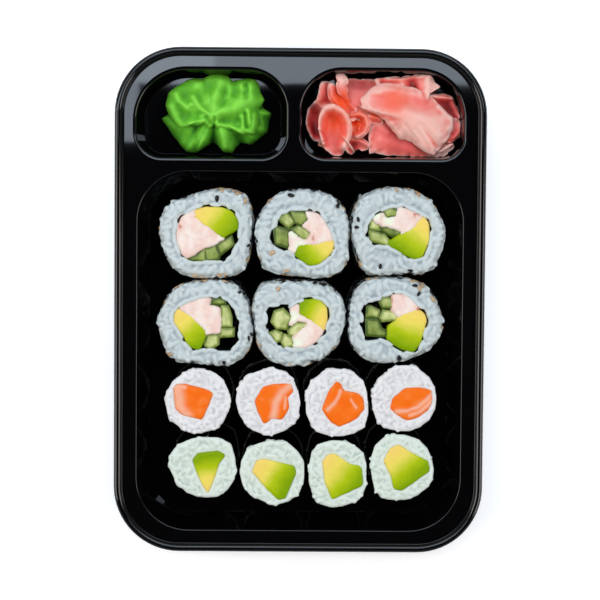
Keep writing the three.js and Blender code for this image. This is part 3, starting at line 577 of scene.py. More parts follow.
def relief(piece, name, rounds, reach):
    """Paints how far each point stands out of the piece's smoothed shape, 0.5 where it doesn't"""
    mesh = piece.data
    count = len(mesh.vertices)
    spots, normals = np.empty(count * 3), np.empty(count * 3)
    mesh.vertices.foreach_get("co", spots)
    mesh.vertices.foreach_get("normal", normals)
    spots, normals = spots.reshape(-1, 3), normals.reshape(-1, 3)
    ends = np.empty(len(mesh.edges) * 2, int)
    mesh.edges.foreach_get("vertices", ends)
    one, other = ends.reshape(-1, 2).T
    degree = np.maximum(np.bincount(ends, minlength=count), 1)
    calm = spots.copy()
    for _ in range(rounds):
        sums = [np.bincount(one, along[other], count) + np.bincount(other, along[one], count)
                for along in calm.T]
        calm = np.column_stack(sums) / degree[:, None]
    out = ((spots - calm) * normals).sum(axis=1) / (reach * mm)
    paint(piece, name, np.clip(0.5 + out, 0, 1))


def small_shape(segments, rings, size, bend, taper):
    """A bean-like shape, long in X, as its points and faces; the sphere it starts from goes again"""
    unselect()
    bpy.ops.mesh.primitive_uv_sphere_add(segments=segments, ring_count=rings, radius=1)
    bean = bpy.context.object
    bpy.ops.object.mode_set(mode="EDIT")
    bpy.ops.transform.rotate(value=math.pi / 2, orient_axis="Y", center_override=(0, 0, 0))
    bpy.ops.transform.resize(value=[half * mm for half in size], center_override=(0, 0, 0))
    bpy.ops.object.mode_set(mode="OBJECT")
    length = size[0] * mm
    for vertex in bean.data.vertices:
        part = vertex.co.x / length
        vertex.co.y = vertex.co.y * (1 - taper * part) + bend * mm * (part * part - 0.4)
        vertex.co.z *= 1 - taper * part
    points = np.array([vertex.co[:] for vertex in bean.data.vertices])
    faces = [tuple(face.vertices) for face in bean.data.polygons]
    bpy.data.objects.remove(bean)
    return points, faces


def rice_finish(name, light, deep):
    """Moist cooked rice: pearly, a little see-through, with painted shade in the creases between grains
    """
    pearly = Finish(name, light, roughness=0.4, shine=0.3)
    starch = pearly.mottled(scale=260, detail=4, relief=0.05)
    # painted light and shade: the colour goes to the shade colour in the creases and to the light one
    # where grains stand out
    tone = pearly.sum(starch, 0.5, pearly.sum(pearly.painted("crest"), 0.75, -0.08))
    pearly.coloured(pearly.shaded(tone, (0.2, deep), (0.62, light)))
    pearly.translucent(0.6, depth=1.8, radii=(1, 0.98, 0.95))
    return pearly.material


grains = [small_shape(segments=7, rings=6, size=grain_size, bend=bend, taper=0.06)
          for bend in (0.0, 0.35, -0.25)]
seed_spots = {}
# the second colour is the painted shade in the creases between grains
cool_rice = rice_finish("cool_rice", linear(207, 215, 213), linear(136, 150, 160))
for number in range(1, 7):
    node = f"uramaki_{number}_rice"
    random = np.random.default_rng(number)
    centre = middle_of(f"uramaki_{number}_nori")
    hole = reach_of(f"uramaki_{number}_nori", centre)
    core = even_copy(node, f"core_{number}", voxel=0.85, smoothing=6, shrink=0.35)

    def out_of_hole(points):
        """A grain that hangs a little over the filling at most, sheared level by the knife"""
        x, y = (points[:, :2] - centre).T
        overhang = random.uniform(0.3, 2) * mm
        if (np.hypot(x, y) < hole(np.arctan2(y, x)) - overhang).any():
            return None
        points = points.copy()
        points[:, 2] = np.minimum(points[:, 2], (cut_height + random.uniform(-0.15, 0.25)) * mm)
        return points

    def outside(point, normal):
        """The side, the cut face and the foot, but not the wall of the hole"""
        return abs(normal[2]) > level_face or np.dot(normal[:2], point[:2] - centre) > 0

    def on_rim_or_side(point, normal):
        """Where seeds can lie: from the foot up the side and over the cut face"""
        outwards = np.dot(normal[:2], point[:2] - centre) > 0
        return point[2] > seed_foot * mm and (normal[2] > 0.9 or outwards and normal[2] > -0.3)

    seed_spots[number] = spread(core, seed_gap, seed_tries, random, on_rim_or_side)
    places = []
    for point, normal in spread(core, grain_gap, grain_tries, random, outside):
        size = random.uniform(0.82, 1.1)
        sink = random.uniform(0.45, 0.8) if normal[2] > level_face else random.uniform(0, 0.5)
        places.append(seated(point, normal, any_way(random), random.normal(0, 0.12), sink, size))
    for turn in np.arange(0, 2 * math.pi, ring_step):
        here, ahead = (np.array((math.cos(angle), math.sin(angle))) * (hole(angle) + 0.5 * mm)
                       for angle in (turn, turn + 0.1))
        if noise.noise(Vector((*here / mm / 4, number))) > -0.12:
            spot = (*(centre + here), (cut_height - random.uniform(0.7, 1.1)) * mm)
            size = random.uniform(0.8, 1.1)
            places.append(seated(spot, (0, 0, 1), (*(ahead - here), 0), tilt=0, sink=0, size=size))
    field = scattered(f"grains_{number}", grains, places, random, out_of_hole)
    rice = fused(f"rice_uramaki_{number}", [core, field], grain_skin, smoothing=2)
    relief(rice, "crest", rounds=8, reach=0.7)
    rice.data.materials.append(cool_rice)
    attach(rice, "root")
    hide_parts(node)


# ---- Nori rings of the inside-out rolls ----
# A sheet of dried seaweed rolled round the fillings, damp and nearly black. It is drawn up
# from a ring of points along the hole's wall, wrinkled, and given its thickness.

nori_wall = 0.45
nori_steps = 96
nori_levels = 9


def nori_tube(name, node, ragged, wrinkle, shift):
    """A rolled sheet that follows a plain ring's outline; a shift gives it wrinkles of its own"""
    centre = middle_of(node)
    reach = reach_of(node, centre)
    low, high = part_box(node)
    unselect()
    bpy.ops.mesh.primitive_circle_add(vertices=nori_steps, radius=1, location=(0, 0, low.z))
    tube = bpy.context.object
    tube.name = name
    bpy.ops.object.transform_apply()
    bpy.ops.object.mode_set(mode="EDIT")
    bpy.ops.mesh.select_mode(type="VERT")
    bpy.ops.mesh.select_all(action="SELECT")
    for _ in range(nori_levels):
        lift = {"value": (0, 0, (high.z - low.z) / nori_levels)}
        bpy.ops.mesh.extrude_region_move(TRANSFORM_OT_translate=lift)
    bpy.ops.mesh.select_all(action="SELECT")
    bpy.ops.mesh.normals_make_consistent(inside=False)
    bpy.ops.object.mode_set(mode="OBJECT")
    for vertex in tube.data.vertices:
        angle = math.atan2(vertex.co.y, vertex.co.x)
        spot = Vector((math.cos(angle) * 4, math.sin(angle) * 4, vertex.co.z / mm / 7 + shift))
        radius = reach(angle) - (0.15 + wrinkle * (0.5 + noise.noise(spot * 1.7))) * mm
        part = (vertex.co.z - low.z) / (high.z - low.z)
        drop = ragged * mm * max(0, noise.noise(spot * 2.3) + 0.25) * part ** 6
        vertex.co = (centre[0] + radius * math.cos(angle), centre[1] + radius * math.sin(angle),
                     vertex.co.z - drop)
    thicken(tube, nori_wall)
    smooth(tube)
    finish_modifiers(tube)
    return tube


seaweed = Finish("nori", linear(6, 8, 6), roughness=0.65, shine=0)
weave = seaweed.mottled(scale=900, detail=6, relief=0.1)
seaweed.coloured(seaweed.mixed(weave, linear(3, 4, 3), linear(13, 17, 11)))
for number in range(1, 7):
    ring = nori_tube(f"nori_ring_{number}", f"uramaki_{number}_nori", ragged=2.6, wrinkle=0.3,
                     shift=number * 3.1)
    ring.data.materials.append(seaweed.material)
    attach(ring, "root")
    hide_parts(f"uramaki_{number}_nori")


# ---- Avocado in the inside-out rolls ----
# A wedge of ripe avocado, yellow at the stone side and green under the skin. It is a soft
# copy of the wedge's solid, with its ripeness painted across it.

def ripen(piece, heading):
    """Paints 0 at the yellow side of a wedge to 1 at the green side, which a heading points to"""
    way = Vector((math.cos(math.radians(heading)), math.sin(math.radians(heading)), 0))
    reaches = [vertex.co.dot(way) for vertex in piece.data.vertices]
    near, far = min(reaches), max(reaches)
    paint(piece, "ripeness", [(reach - near) / (far - near) for reach in reaches])


buttery = Finish("avocado", linear(226, 206, 90), roughness=0.45, shine=0.1)
cream = buttery.mottled(scale=130, detail=4, relief=0.07)
ripeness = buttery.sum(cream, 0.24, buttery.painted("ripeness"))
buttery.coloured(buttery.shaded(
    ripeness, (0.14, linear(252, 214, 114)), (0.46, linear(240, 220, 98)), (0.72, linear(184, 200, 18)),
    (1, linear(132, 166, 0))))
buttery.translucent(0.25, depth=1, radii=(1, 0.8, 0.25))
uramaki_ripening = (-35, -145, -125, -50, 150, -110)
for number, heading in enumerate(uramaki_ripening, 1):
    node = f"uramaki_{number}_avocado"
    wedge = even_copy(node, f"avocado_slice_{number}", voxel=0.5, smoothing=3, shrink=-0.8)
    roughen(wedge, size=3, depth=0.8)
    ripen(wedge, heading)
    wedge.data.materials.append(buttery.material)
    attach(wedge, "root")
    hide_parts(node)


# ---- Cucumber sticks ----
# Peeled cucumber cut into sticks side by side, wet and see-through, painted darker at each cut face's
# edge and down the sides. Each is drawn up from its outline, and its cut face and edges are rounded.

stick_swell = 1.12  # the outlines grow by this, because the insets and bevels take some away
crown_steps = ((0.4, 0.25), (1.1, 0.15))  # how far the cut face is drawn in and up, in two steps
# each stick's outline about its roll's middle, in mm
stick_outlines = (
    (
        ((-8.2, -11.5), (-5.4, -12.4), (0.2, -12.6), (-0.4, -6.6), (-4.8, -9.4)),
        ((-0.2, -12.4), (5.8, -11.6), (6.3, -9.1), (4.4, -5), (-0.6, -7)),
        ((6.4, -9.8), (12.4, -5), (11.2, -0.8), (7.2, -3.4), (4.8, -5))),
    (
        ((-11, 6.2), (-7.2, 9.6), (-3, 5.4), (-6.2, 1.6)),
        ((-6, 10.2), (1.9, 9.1), (2.9, 5.9), (-0.6, 3), (-3.6, 4.6)),
        ((-5.6, 1.9), (-0.8, 3.8), (4.3, 0), (2.4, -3.4), (-0.5, -2.9)),
        ((-13, 3.4), (-6, 1.6), (-5.5, -6.7), (-12, -4.8))),
    (
        ((-8, 8.6), (-4.8, 10.4), (-0.6, 9.4), (-1.4, 6.2), (-6, 5.8)),
        ((-13.2, 5.5), (-8.8, 3), (-8.9, -0.2), (-13.6, 0.9)),
        ((-8.6, 2.6), (-3.4, 1.7), (1, 0), (0, -2.4), (-3.4, -2.8), (-8.2, -0.2)),
        ((-13.6, 0.3), (-7, -1.2), (-4.5, -4.3), (-5.3, -7), (-13, -4.6))),
    (
        ((1.8, 7.7), (3.4, 11.4), (9.4, 11), (9, 8.2)),
        ((7.2, 7.6), (10.4, 7.8), (12, 3), (12, -1.2), (7.2, -1.2)),
        ((6.8, -2), (13, -2), (13, -5.8), (6.6, -6.3)),
        ((1, -4.9), (6.2, -4.8), (6.2, -9.4), (2.4, -11.6), (-0.4, -9.6))),
    (
        ((-11, 5.6), (-7.2, 6.8), (-3.6, 3.2), (-5.4, -2.2), (-9.8, -2), (-12.4, 1)),
        ((-13.2, -4), (-10.6, -2.6), (-7.4, -3.8), (-8, -7.4), (-10.4, -8.4)),
        ((-8, -7.8), (-6.6, -4.4), (-3.1, -5.8), (-2.1, -9.6), (-6.6, -10.8)),
        ((-5, -2.6), (-1, 0.8), (2.9, 0.5), (3.8, -1), (-1.4, -5.6), (-4.3, -5))),
    (
        ((-8, 8.2), (-6.5, 10.6), (-1.9, 10.4), (-1.6, 5.9), (-6.6, 5.4)),
        ((-13.4, 6.2), (-11.6, 6.8), (-7.6, 4.8), (-8.2, 1.4), (-13.6, 1.6)),
        ((-7.6, 1.4), (-6.2, 4.8), (-0.7, 4.1), (0.5, 1.9), (-0.5, 0.2), (-6.6, -0.5)),
        ((-13.6, 0.8), (-8.2, 0.6), (-6.6, -3), (-3.8, -4.6), (-5.2, -7), (-13.2, -6.6))))


def stick(outline, centre, foot, top, tone):
    """A stick on an outline: its cut face drawn in and crowned, and its edges rounded"""
    unselect()
    bpy.ops.mesh.primitive_circle_add(vertices=len(outline), radius=1, fill_type="NGON")
    piece = bpy.context.object
    for vertex, (x, y) in zip(piece.data.vertices, outline):
        vertex.co = (centre[0] + x * mm, centre[1] + y * mm, foot)
    bpy.ops.object.mode_set(mode="EDIT")
    bpy.ops.mesh.select_mode(type="FACE")
    bpy.ops.mesh.select_all(action="SELECT")
    bpy.ops.mesh.extrude_region_move(TRANSFORM_OT_translate={"value": (0, 0, top - foot)})
    for inset, lift in crown_steps:
        bpy.ops.mesh.inset(thickness=inset * mm)
        bpy.ops.transform.translate(value=(0, 0, lift * mm))
    bpy.ops.mesh.select_all(action="SELECT")
    bpy.ops.mesh.normals_make_consistent(inside=False)
    bpy.ops.object.mode_set(mode="OBJECT")
    round_edges = piece.modifiers.new("round_edges", "BEVEL")
    round_edges.width = 0.3 * mm
    round_edges.segments = 2
    finish_modifiers(piece)
    # marks the edge of the cut face and the sides, which the material paints a darker green
    paint(piece, "rind", [vertex.co.z <= top + 0.3 * mm for vertex in piece.data.vertices])
    paint(piece, "tone", [tone] * len(piece.data.vertices))
    smooth(piece)
    return piece


watery = Finish("cucumber", linear(176, 190, 120), roughness=0.3, shine=0.3)
streaks = watery.mottled(scale=170, detail=5, relief=0.3, stretch=(1.6, 1, 0.4))
# the sticks are painted darker at the edge of the cut face and down their sides
depth = watery.sum(watery.painted("tone"), 0.5, watery.sum(watery.painted("rind"), 0.35, -0.16))
watery.coloured(watery.shaded(
    watery.sum(streaks, 0.8, depth), (0.26, linear(214, 216, 150)), (0.52, linear(154, 168, 86)),
    (0.86, linear(72, 92, 30))))
watery.translucent(0.25, depth=1.2, radii=(0.7, 1, 0.5))
for number, outlines in enumerate(stick_outlines, 1):
    node = f"uramaki_{number}_cucumber"
    random = np.random.default_rng(200 + number)
    low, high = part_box(node)
    centre = middle_of(f"uramaki_{number}_rice")
    pieces = []
    for outline in outlines:
        corners = np.array(outline)
        inner = corners.mean(axis=0)
        swollen = inner + (corners - inner) * stick_swell
        top = high.z + random.uniform(-0.9, -0.2) * mm
        pieces.append(stick(swollen, centre, low.z, top, random.random()))
    sticks = joined(f"cucumber_sticks_{number}", pieces)
    sticks.data.materials.append(watery.material)
    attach(sticks, "root")
    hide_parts(node)


# ---- Crab ----
# Shredded crab stick bound with a little mayonnaise, pale pink, with dabs of cream cheese. It
# is a soft copy of its solid, made stringy and flaky by small lumps and larger ones.

dab_radius = 2.6
# where a dab of cream cheese lies in each roll, about the roll's middle, in mm
cream_dabs = (
    (), ((-1.5, -5.6), (-4.6, 0.8)), ((-10.6, 7.4), (-5.5, 4.8)), (), ((-3, 3.4), (-1, -8)),
    ((-10, 8.4), (-3, -3.6)))
flaky = Finish("crab", linear(244, 222, 206), roughness=0.5, shine=0.15)
shreds = flaky.mottled(scale=240, detail=5, relief=0.25, stretch=(1, 0.5, 1))
meat = flaky.shaded(
    shreds, (0.3, linear(204, 130, 110)), (0.37, linear(242, 206, 192)), (0.66, linear(252, 234, 222)))
flaky.coloured(flaky.mixed(flaky.painted("cream"), meat, linear(244, 246, 222)))
flaky.translucent(0.3, depth=1, radii=(1, 0.75, 0.65))
for number in range(1, 7):
    node = f"uramaki_{number}_crab"
    crab = even_copy(node, f"crab_meat_{number}", voxel=0.5, smoothing=2, shrink=-0.8)
    roughen(crab, size=1.6, depth=0.8)
    roughen(crab, size=5, depth=0.9)
    middle = middle_of(f"uramaki_{number}_rice")
    spots = seen_from_above(crab)
    cream = np.zeros(len(spots))
    for dab in cream_dabs[number - 1]:
        distance = np.linalg.norm(spots - middle - np.array(dab) * mm, axis=1) / mm
        cream = np.maximum(cream, np.exp(-(distance / dab_radius) ** 4))
    paint(crab, "cream", cream)
    crab.data.materials.append(flaky.material)
    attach(crab, "root")
    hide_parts(node)


# ---- Sesame ----
# Black and toasted seeds that the inside-out rolls were rolled in. They lie flat on the
# side and the upper rim, in patches, and none where two rolls press together.

seed_size = (1.6, 0.95, 0.5)  # half length, half width, half thickness
rim_band = 4  # how far below the cut face the patches reach; the seeds further down lie anywhere
pressed_gap = 0.4  # no seeds where the next roll is nearer than this
# each patch: its place in the tray's frame and its radius in mm, and its share of tan seeds
seed_patches = np.array((
    (-51.4, 44.8, 1.8, 0), (-36, 44.4, 1, 0), (-34.3, 48, 2.6, 1), (-26, 46.4, 2.6, 1),
    (-19.4, 28.4, 2.2, 0), (-21.6, 22.4, 2.2, 0.2), (-21.6, 17.4, 2.2, 0.9), (-24.6, 13.2, 1, 0),
    (-44.8, 10, 3, 0.9), (-33, 10.6, 2.6, 0.6), (-36, 8.2, 1.4, 0), (-56, 15, 1, 0),
    (-53.8, 6.8, 3, 0.8), (-57.2, 3, 1.2, 0), (-49.8, -0.4, 1.2, 0), (-25, -6.2, 1.2, 0),
    (-25.4, 4, 1.8, 0), (-22.4, 0.6, 1.4, 0.2), (-20.8, -4, 1.4, 1), (-20.8, -14.6, 1.3, 0),
    (-22.4, -17.4, 1.3, 0), (-60.4, -13, 1.3, 0), (-58, -24, 2, 0.6), (-47.2, -27, 1.2, 0),
    (-32.6, -26.6, 1.2, 0), (-4, 49.2, 2.4, 0.2), (-13.4, 44.8, 1.8, 1), (-13.4, 21.2, 1.3, 1),
    (-12, 17.4, 1.3, 0), (-16.2, 11.8, 1.8, 0), (-5.6, 11.2, 2.6, 0.9), (-3.6, 9.6, 1.3, 0),
    (2, 49.4, 1.4, 0), (10.4, 48.4, 1.4, 0), (16.6, 43, 2.4, 0.3), (19, 41, 1.8, 0.9),
    (21.6, 17, 1.6, 1), (19.2, 13.2, 1.3, 0), (6, 9, 1.8, 0), (10.4, 7.4, 1.4, 0), (24, 34.6, 2, 0),
    (23, 28.4, 1.6, 1), (23.4, 26.2, 1.2, 0), (23, 21.8, 1.6, 0.5), (26.2, 17.4, 2.6, 0.8),
    (41.8, 50.2, 2.6, 0.6), (50.2, 47.8, 2, 1), (31.2, 20.8, 1.8, 0), (36.2, 16.4, 1.5, 0),
    (48.4, 13, 2, 0), (42.2, 11.6, 1.8, 0), (59, 13.6, 1.8, 0.9), (61.8, 18, 1.3, 0),
    (-7.8, 8.6, 1.6, 0), (-8, 5.2, 1.6, 1), (-19.6, 5, 1.5, 0.9), (14.2, 8.2, 2.4, 0.8),
    (17, 5.6, 1.8, 0), (21.8, -4, 1.2, 0), (20.8, -9, 1.2, 0), (21.2, -13.4, 1.5, 0),
    (12.2, -24, 1.3, 0), (7.6, -25.8, 1.3, 0), (14.4, -23.4, 1.4, 1), (3, -28.4, 1.6, 1),
    (-17.4, -20.2, 1.8, 0.9), (-3.4, -27.4, 1.8, 1), (49.6, 10, 3.4, 0.9), (55.2, 7.2, 2.6, 0.9),
    (52, 4.8, 1.2, 0), (57.4, 4.4, 1.4, 0), (57.8, 0.8, 1.3, 0.3), (64.2, -11.2, 2, 0.9),
    (44.8, -24.2, 1.2, 0), (26.2, 6.8, 1.3, 0)))
seeds = [small_shape(segments=6, rings=5, size=seed_size, bend=0, taper=taper)
         for taper in (0.28, 0.18)]
roll_sides = {}
for number in range(1, 7):
    centre = middle_of(f"uramaki_{number}_rice")
    roll_sides[number] = (centre, reach_of(f"uramaki_{number}_rice", centre))
random = np.random.default_rng(77)
seed_places = {"sesame_black": [], "sesame_tan": []}
for number, spots in seed_spots.items():
    for point, normal in spots:
        near = []
        for other, (middle, reach) in roll_sides.items():
            x, y = point[:2] - middle
            if other != number:
                near.append(np.hypot(x, y) - reach(math.atan2(y, x)))
        away = ((seed_patches[:, :2] - point[:2] / mm) ** 2).sum(axis=1) / seed_patches[:, 2] ** 2
        chance = 1.1 * math.exp(-away.min() ** 2)
        tan_share = seed_patches[away.argmin(), 3]
        if point[2] < (cut_height - rim_band) * mm:
            chance = max(chance, 0.14 + 1.2 * noise.noise(Vector(point) / mm / 7))
        if min(near) < pressed_gap * mm or random.random() > chance:
            continue
        kind = "sesame_tan" if random.random() < tan_share else "sesame_black"
        along = any_way(random)
        size = random.uniform(0.75, 1.05)
        seed_places[kind].append(seated(point, normal, along, tilt=0, sink=-0.55, size=size))
for name, light, dark in (
        ("sesame_black", linear(14, 13, 13), linear(40, 34, 30)),
        ("sesame_tan", linear(224, 198, 162), linear(178, 134, 92))):
    husk = Finish(name, light, roughness=0.45, shine=0.3)
    fleck = husk.mottled(scale=420, detail=2, relief=0.04)
    husk.coloured(husk.mixed(fleck, light, dark))
    scatter = scattered(name, seeds, seed_places[name], random)
    scatter.data.materials.append(husk.material)
    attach(scatter, "root")


# ---- Rice of the small rolls ----
# The same rice inside a sheet of nori, white round the salmon and greenish round the
# avocado. Here the cut face swells over the sheet's edge, so grains cover only the top.

rim_give = 0.6  # how far grains may stand out of the plain roll's side
topping = 3.4  # grains cover the core from this far below its top
topping_gap = 1.8
topping_tries = 6000
rim_width = 3.2  # grains within this of the side lie along it
upright_step = 0.17  # between the upright grains round the rim, in radians
# each rice's second colour is the painted shade in its creases
white_rice = rice_finish("white_rice", linear(234, 232, 230), linear(176, 172, 176))
green_rice = rice_finish("green_rice", linear(224, 232, 220), linear(160, 178, 162))
tints = {"salmon": white_rice, "avocado": green_rice}
small_rolls = [(filling, number, tint) for filling, tint in tints.items() for number in range(1, 5)]
for filling, number, tint in small_rolls:
    node = f"{filling}_maki_{number}_rice"
    random = np.random.default_rng(number * 10 + len(filling))
    centre = middle_of(node)
    side = reach_of(node, centre)
    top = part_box(node)[1].z
    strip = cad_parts[f"{filling}_maki_{number}_{filling}"].data
    strip_points = [vertex.co[:] for vertex in strip.vertices]
    inner = BVHTree.FromPolygons(strip_points, [face.vertices[:] for face in strip.polygons])
    core = even_copy(node, f"core_{filling}_{number}", voxel=0.6, smoothing=2, shrink=-0.2)
    for vertex in core.data.vertices:
        vertex.co.z = min(vertex.co.z, (cut_height - 0.5) * mm)

    def trimmed(points):
        """A grain clear of the filling, sheared level on top and held in at the roll's rim"""
        for point in points:
            near, normal, _, distance = inner.find_nearest(point)
            level = Vector((normal.x, normal.y, 0))
            inside = (Vector(point) - near).dot(normal) < 0
            if level.length <= 0.5:
                inside = False
                distance = inner.find_nearest(Vector((point[0], point[1], 0.01)))[3]
            if inside or distance < 0.1 * mm:
                return None
        points = points.copy()
        spots = points[:, :2] - centre
        reaches = np.hypot(spots[:, 0], spots[:, 1])
        edge = side(np.arctan2(spots[:, 1], spots[:, 0])) + rim_give * mm
        held = np.minimum(reaches, edge + 0.3 * np.maximum(reaches - edge, 0))
        points[:, :2] = centre + spots * (held / reaches)[:, None]
        points[:, 2] = np.minimum(points[:, 2], (cut_height + random.uniform(-0.15, 0.3)) * mm)
        return points

    def near_top(point, normal):
        return point[2] > top - topping * mm and normal[2] > -0.3

    places = []
    for point, normal in spread(core, topping_gap, topping_tries, random, near_top):
        x, y = np.array(point[:2]) - centre
        round_about = np.array(Vector((-y, x, 0)).normalized())
        on_rim = np.hypot(x, y) >= side(math.atan2(y, x)) - rim_width * mm
        along = round_about + (0.2 if on_rim else 1) * any_way(random)
        size = random.uniform(0.8, 1.05)
        sink = random.uniform(0.4, 0.75) if normal[2] > 0.75 else random.uniform(0, 0.45)
        places.append(seated(point, normal, along, random.normal(0, 0.12), sink, size))
    for turn in np.arange(0, 2 * math.pi, upright_step):
        turn += random.uniform(-0.04, 0.04)
        outward = np.array((math.cos(turn), math.sin(turn)))
        edge = centre + outward * (side(turn) - random.uniform(0.35, 0.9) * mm)
        spot = (*edge, (cut_height - 2.4) * mm)
        along = np.array((0, 0, 1)) + 0.2 * any_way(random)
        size = random.uniform(0.9, 1.1)
        places.append(seated(spot, (*outward, 0), along, tilt=0, sink=0, size=size))
    field = scattered(f"grains_{filling}_{number}", grains, places, random, trimmed)
    rice = fused(f"rice_{filling}_{number}", [core, field], grain_skin, smoothing=2)
    relief(rice, "crest", rounds=8, reach=0.7)
    rice.data.materials.append(tint)
    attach(rice, "root")
    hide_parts(node)
    wrap = nori_tube(f"nori_wrap_{filling}_{number}", f"{filling}_maki_{number}_nori", ragged=0.8,
                     wrinkle=0.2, shift=number * 5.3)
    wrap.data.materials.append(seaweed.material)
    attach(wrap, "root")
    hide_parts(f"{filling}_maki_{number}_nori")


# ---- Salmon ----
# A strip of raw salmon down the middle of four rolls, cut across. It is a soft copy of its
# solid, dented a little, with the pale bands of fat painted across it.

# the bands of each strip: their points about the roll's middle and their half widths, in mm
fat_bands = (
    ((((-9, 7), (-8, 2), (-7.6, -2), (-4.6, -6)), 2.2), (((-8, 6.8), (-5.4, 6.2)), 1)),
    ((((10.6, 7.4), (6.4, 4.4), (3.6, 0), (3.2, -4), (2.4, -7)), 1.6), (((8, 2), (7.4, -3)), 0.6)),
    ((((1.4, 5.4), (0.6, 2.6), (-1.4, -0.4), (-4.2, -3.2)), 0.8), (((6, 1.4), (8.4, -2.2)), 0.5)),
    (
        (((13.4, 3.4), (9.6, -0.8), (6, -3.8), (1.4, -5.4), (-3.4, -5.8)), 0.9),
        (((13.6, 0.8), (10.4, -3), (7, -5.8), (2.6, -7.4)), 0.9)))


def away_from(line, spots):
    """How far each spot lies from a line of points"""
    nearest = np.full(len(spots), np.inf)
    for start, end in zip(line, line[1:]):
        run = end - start
        part = np.clip((spots - start) @ run / (run @ run), 0, 1)
        nearest = np.minimum(nearest, np.linalg.norm(spots - start - part[:, None] * run, axis=1))
    return nearest


raw_fish = Finish("salmon", linear(250, 122, 30), roughness=0.4, shine=0.12)
flesh = raw_fish.mottled(scale=190, detail=5, relief=0.1)
lean = raw_fish.mixed(flesh, linear(255, 98, 2), linear(255, 134, 36))
band_mask = raw_fish.sum(raw_fish.painted("fat"), 1.1, raw_fish.sum(flesh, 0.7, -0.38))
raw_fish.coloured(raw_fish.mixed(band_mask, lean, linear(253, 178, 144)))
raw_fish.translucent(0.3, depth=1.2, radii=(1, 0.4, 0.15))
for number, bands in enumerate(fat_bands, 1):
    node = f"salmon_maki_{number}_salmon"
    fish = even_copy(node, f"salmon_strip_{number}", voxel=0.5, smoothing=3, shrink=-0.5)
    roughen(fish, size=3.5, depth=0.6)
    about_middle = (seen_from_above(fish) - middle_of(f"salmon_maki_{number}_rice")) / mm
    fat = [np.exp(-(away_from(np.array(band), about_middle) / half_width) ** 2)
           for band, half_width in bands]
    paint(fish, "fat", np.max(fat, axis=0))
    fish.data.materials.append(raw_fish.material)
    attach(fish, "root")
    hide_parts(node)


# ---- Avocado in the small rolls ----
# One wedge of ripe avocado in each of four rolls, cut across. It is made like the slices of
# the larger rolls, as a soft copy of its solid.

maki_ripening = (100, -30, -40, -50)
for number, heading in enumerate(maki_ripening, 1):
    node = f"avocado_maki_{number}_avocado"
    wedge = even_copy(node, f"avocado_wedge_{number}", voxel=0.5, smoothing=3, shrink=-0.5)
    roughen(wedge, size=3.5, depth=0.5)
    ripen(wedge, heading)
    wedge.data.materials.append(buttery.material)
    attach(wedge, "root")
    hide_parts(node)


# ---- Wasabi ----
# A knob of green paste, squeezed out and gathered at one point. It lies in two layers, each
# a heap on its own outline with folds pressed up and down in it, and the two are fused.

knob_centre = np.array((-38.3, 82.4))
paste_spread = 1.035  # the outlines grow by this, because smoothing draws them in again
paste_lump, paste_swell = 6, 1.4  # how wide and how high the slow waves on the paste are
knob_low, knob_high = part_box("wasabi")
lower_outline = (
    (-61.4, 80.6), (-58.6, 82.4), (-55, 90), (-40, 95), (-22, 92), (-17.2, 85.4), (-13.8, 83.2),
    (-14.8, 80), (-15.6, 75), (-18.6, 72.6), (-22.5, 69.8), (-27, 70.6), (-29.2, 68.4), (-30.6, 66),
    (-34.4, 66.4), (-37, 69.4), (-39.2, 70.6), (-42.6, 68.6), (-46.4, 66), (-50.6, 66.4), (-54.4, 71),
    (-58.4, 76.4))
upper_outline = (
    (-59.4, 85.9), (-57.9, 91.8), (-52.6, 95.4), (-49.4, 97.4), (-43.4, 97.6), (-40.4, 99.2),
    (-35.9, 99.9), (-32.6, 98.8), (-30.8, 96.6), (-28, 97.4), (-20.8, 97.6), (-19.2, 95.2), (-18.6, 92),
    (-16.8, 88.8), (-18.8, 85.2), (-18.2, 81), (-19.4, 76.4), (-21, 73.8), (-25.6, 73.4), (-30, 75.2),
    (-34.4, 76), (-36.6, 75.6), (-38.4, 77.4), (-40.6, 75.4), (-43, 77.8), (-48.5, 77.4), (-52.4, 75.8),
    (-54.2, 76.6), (-56.6, 80))
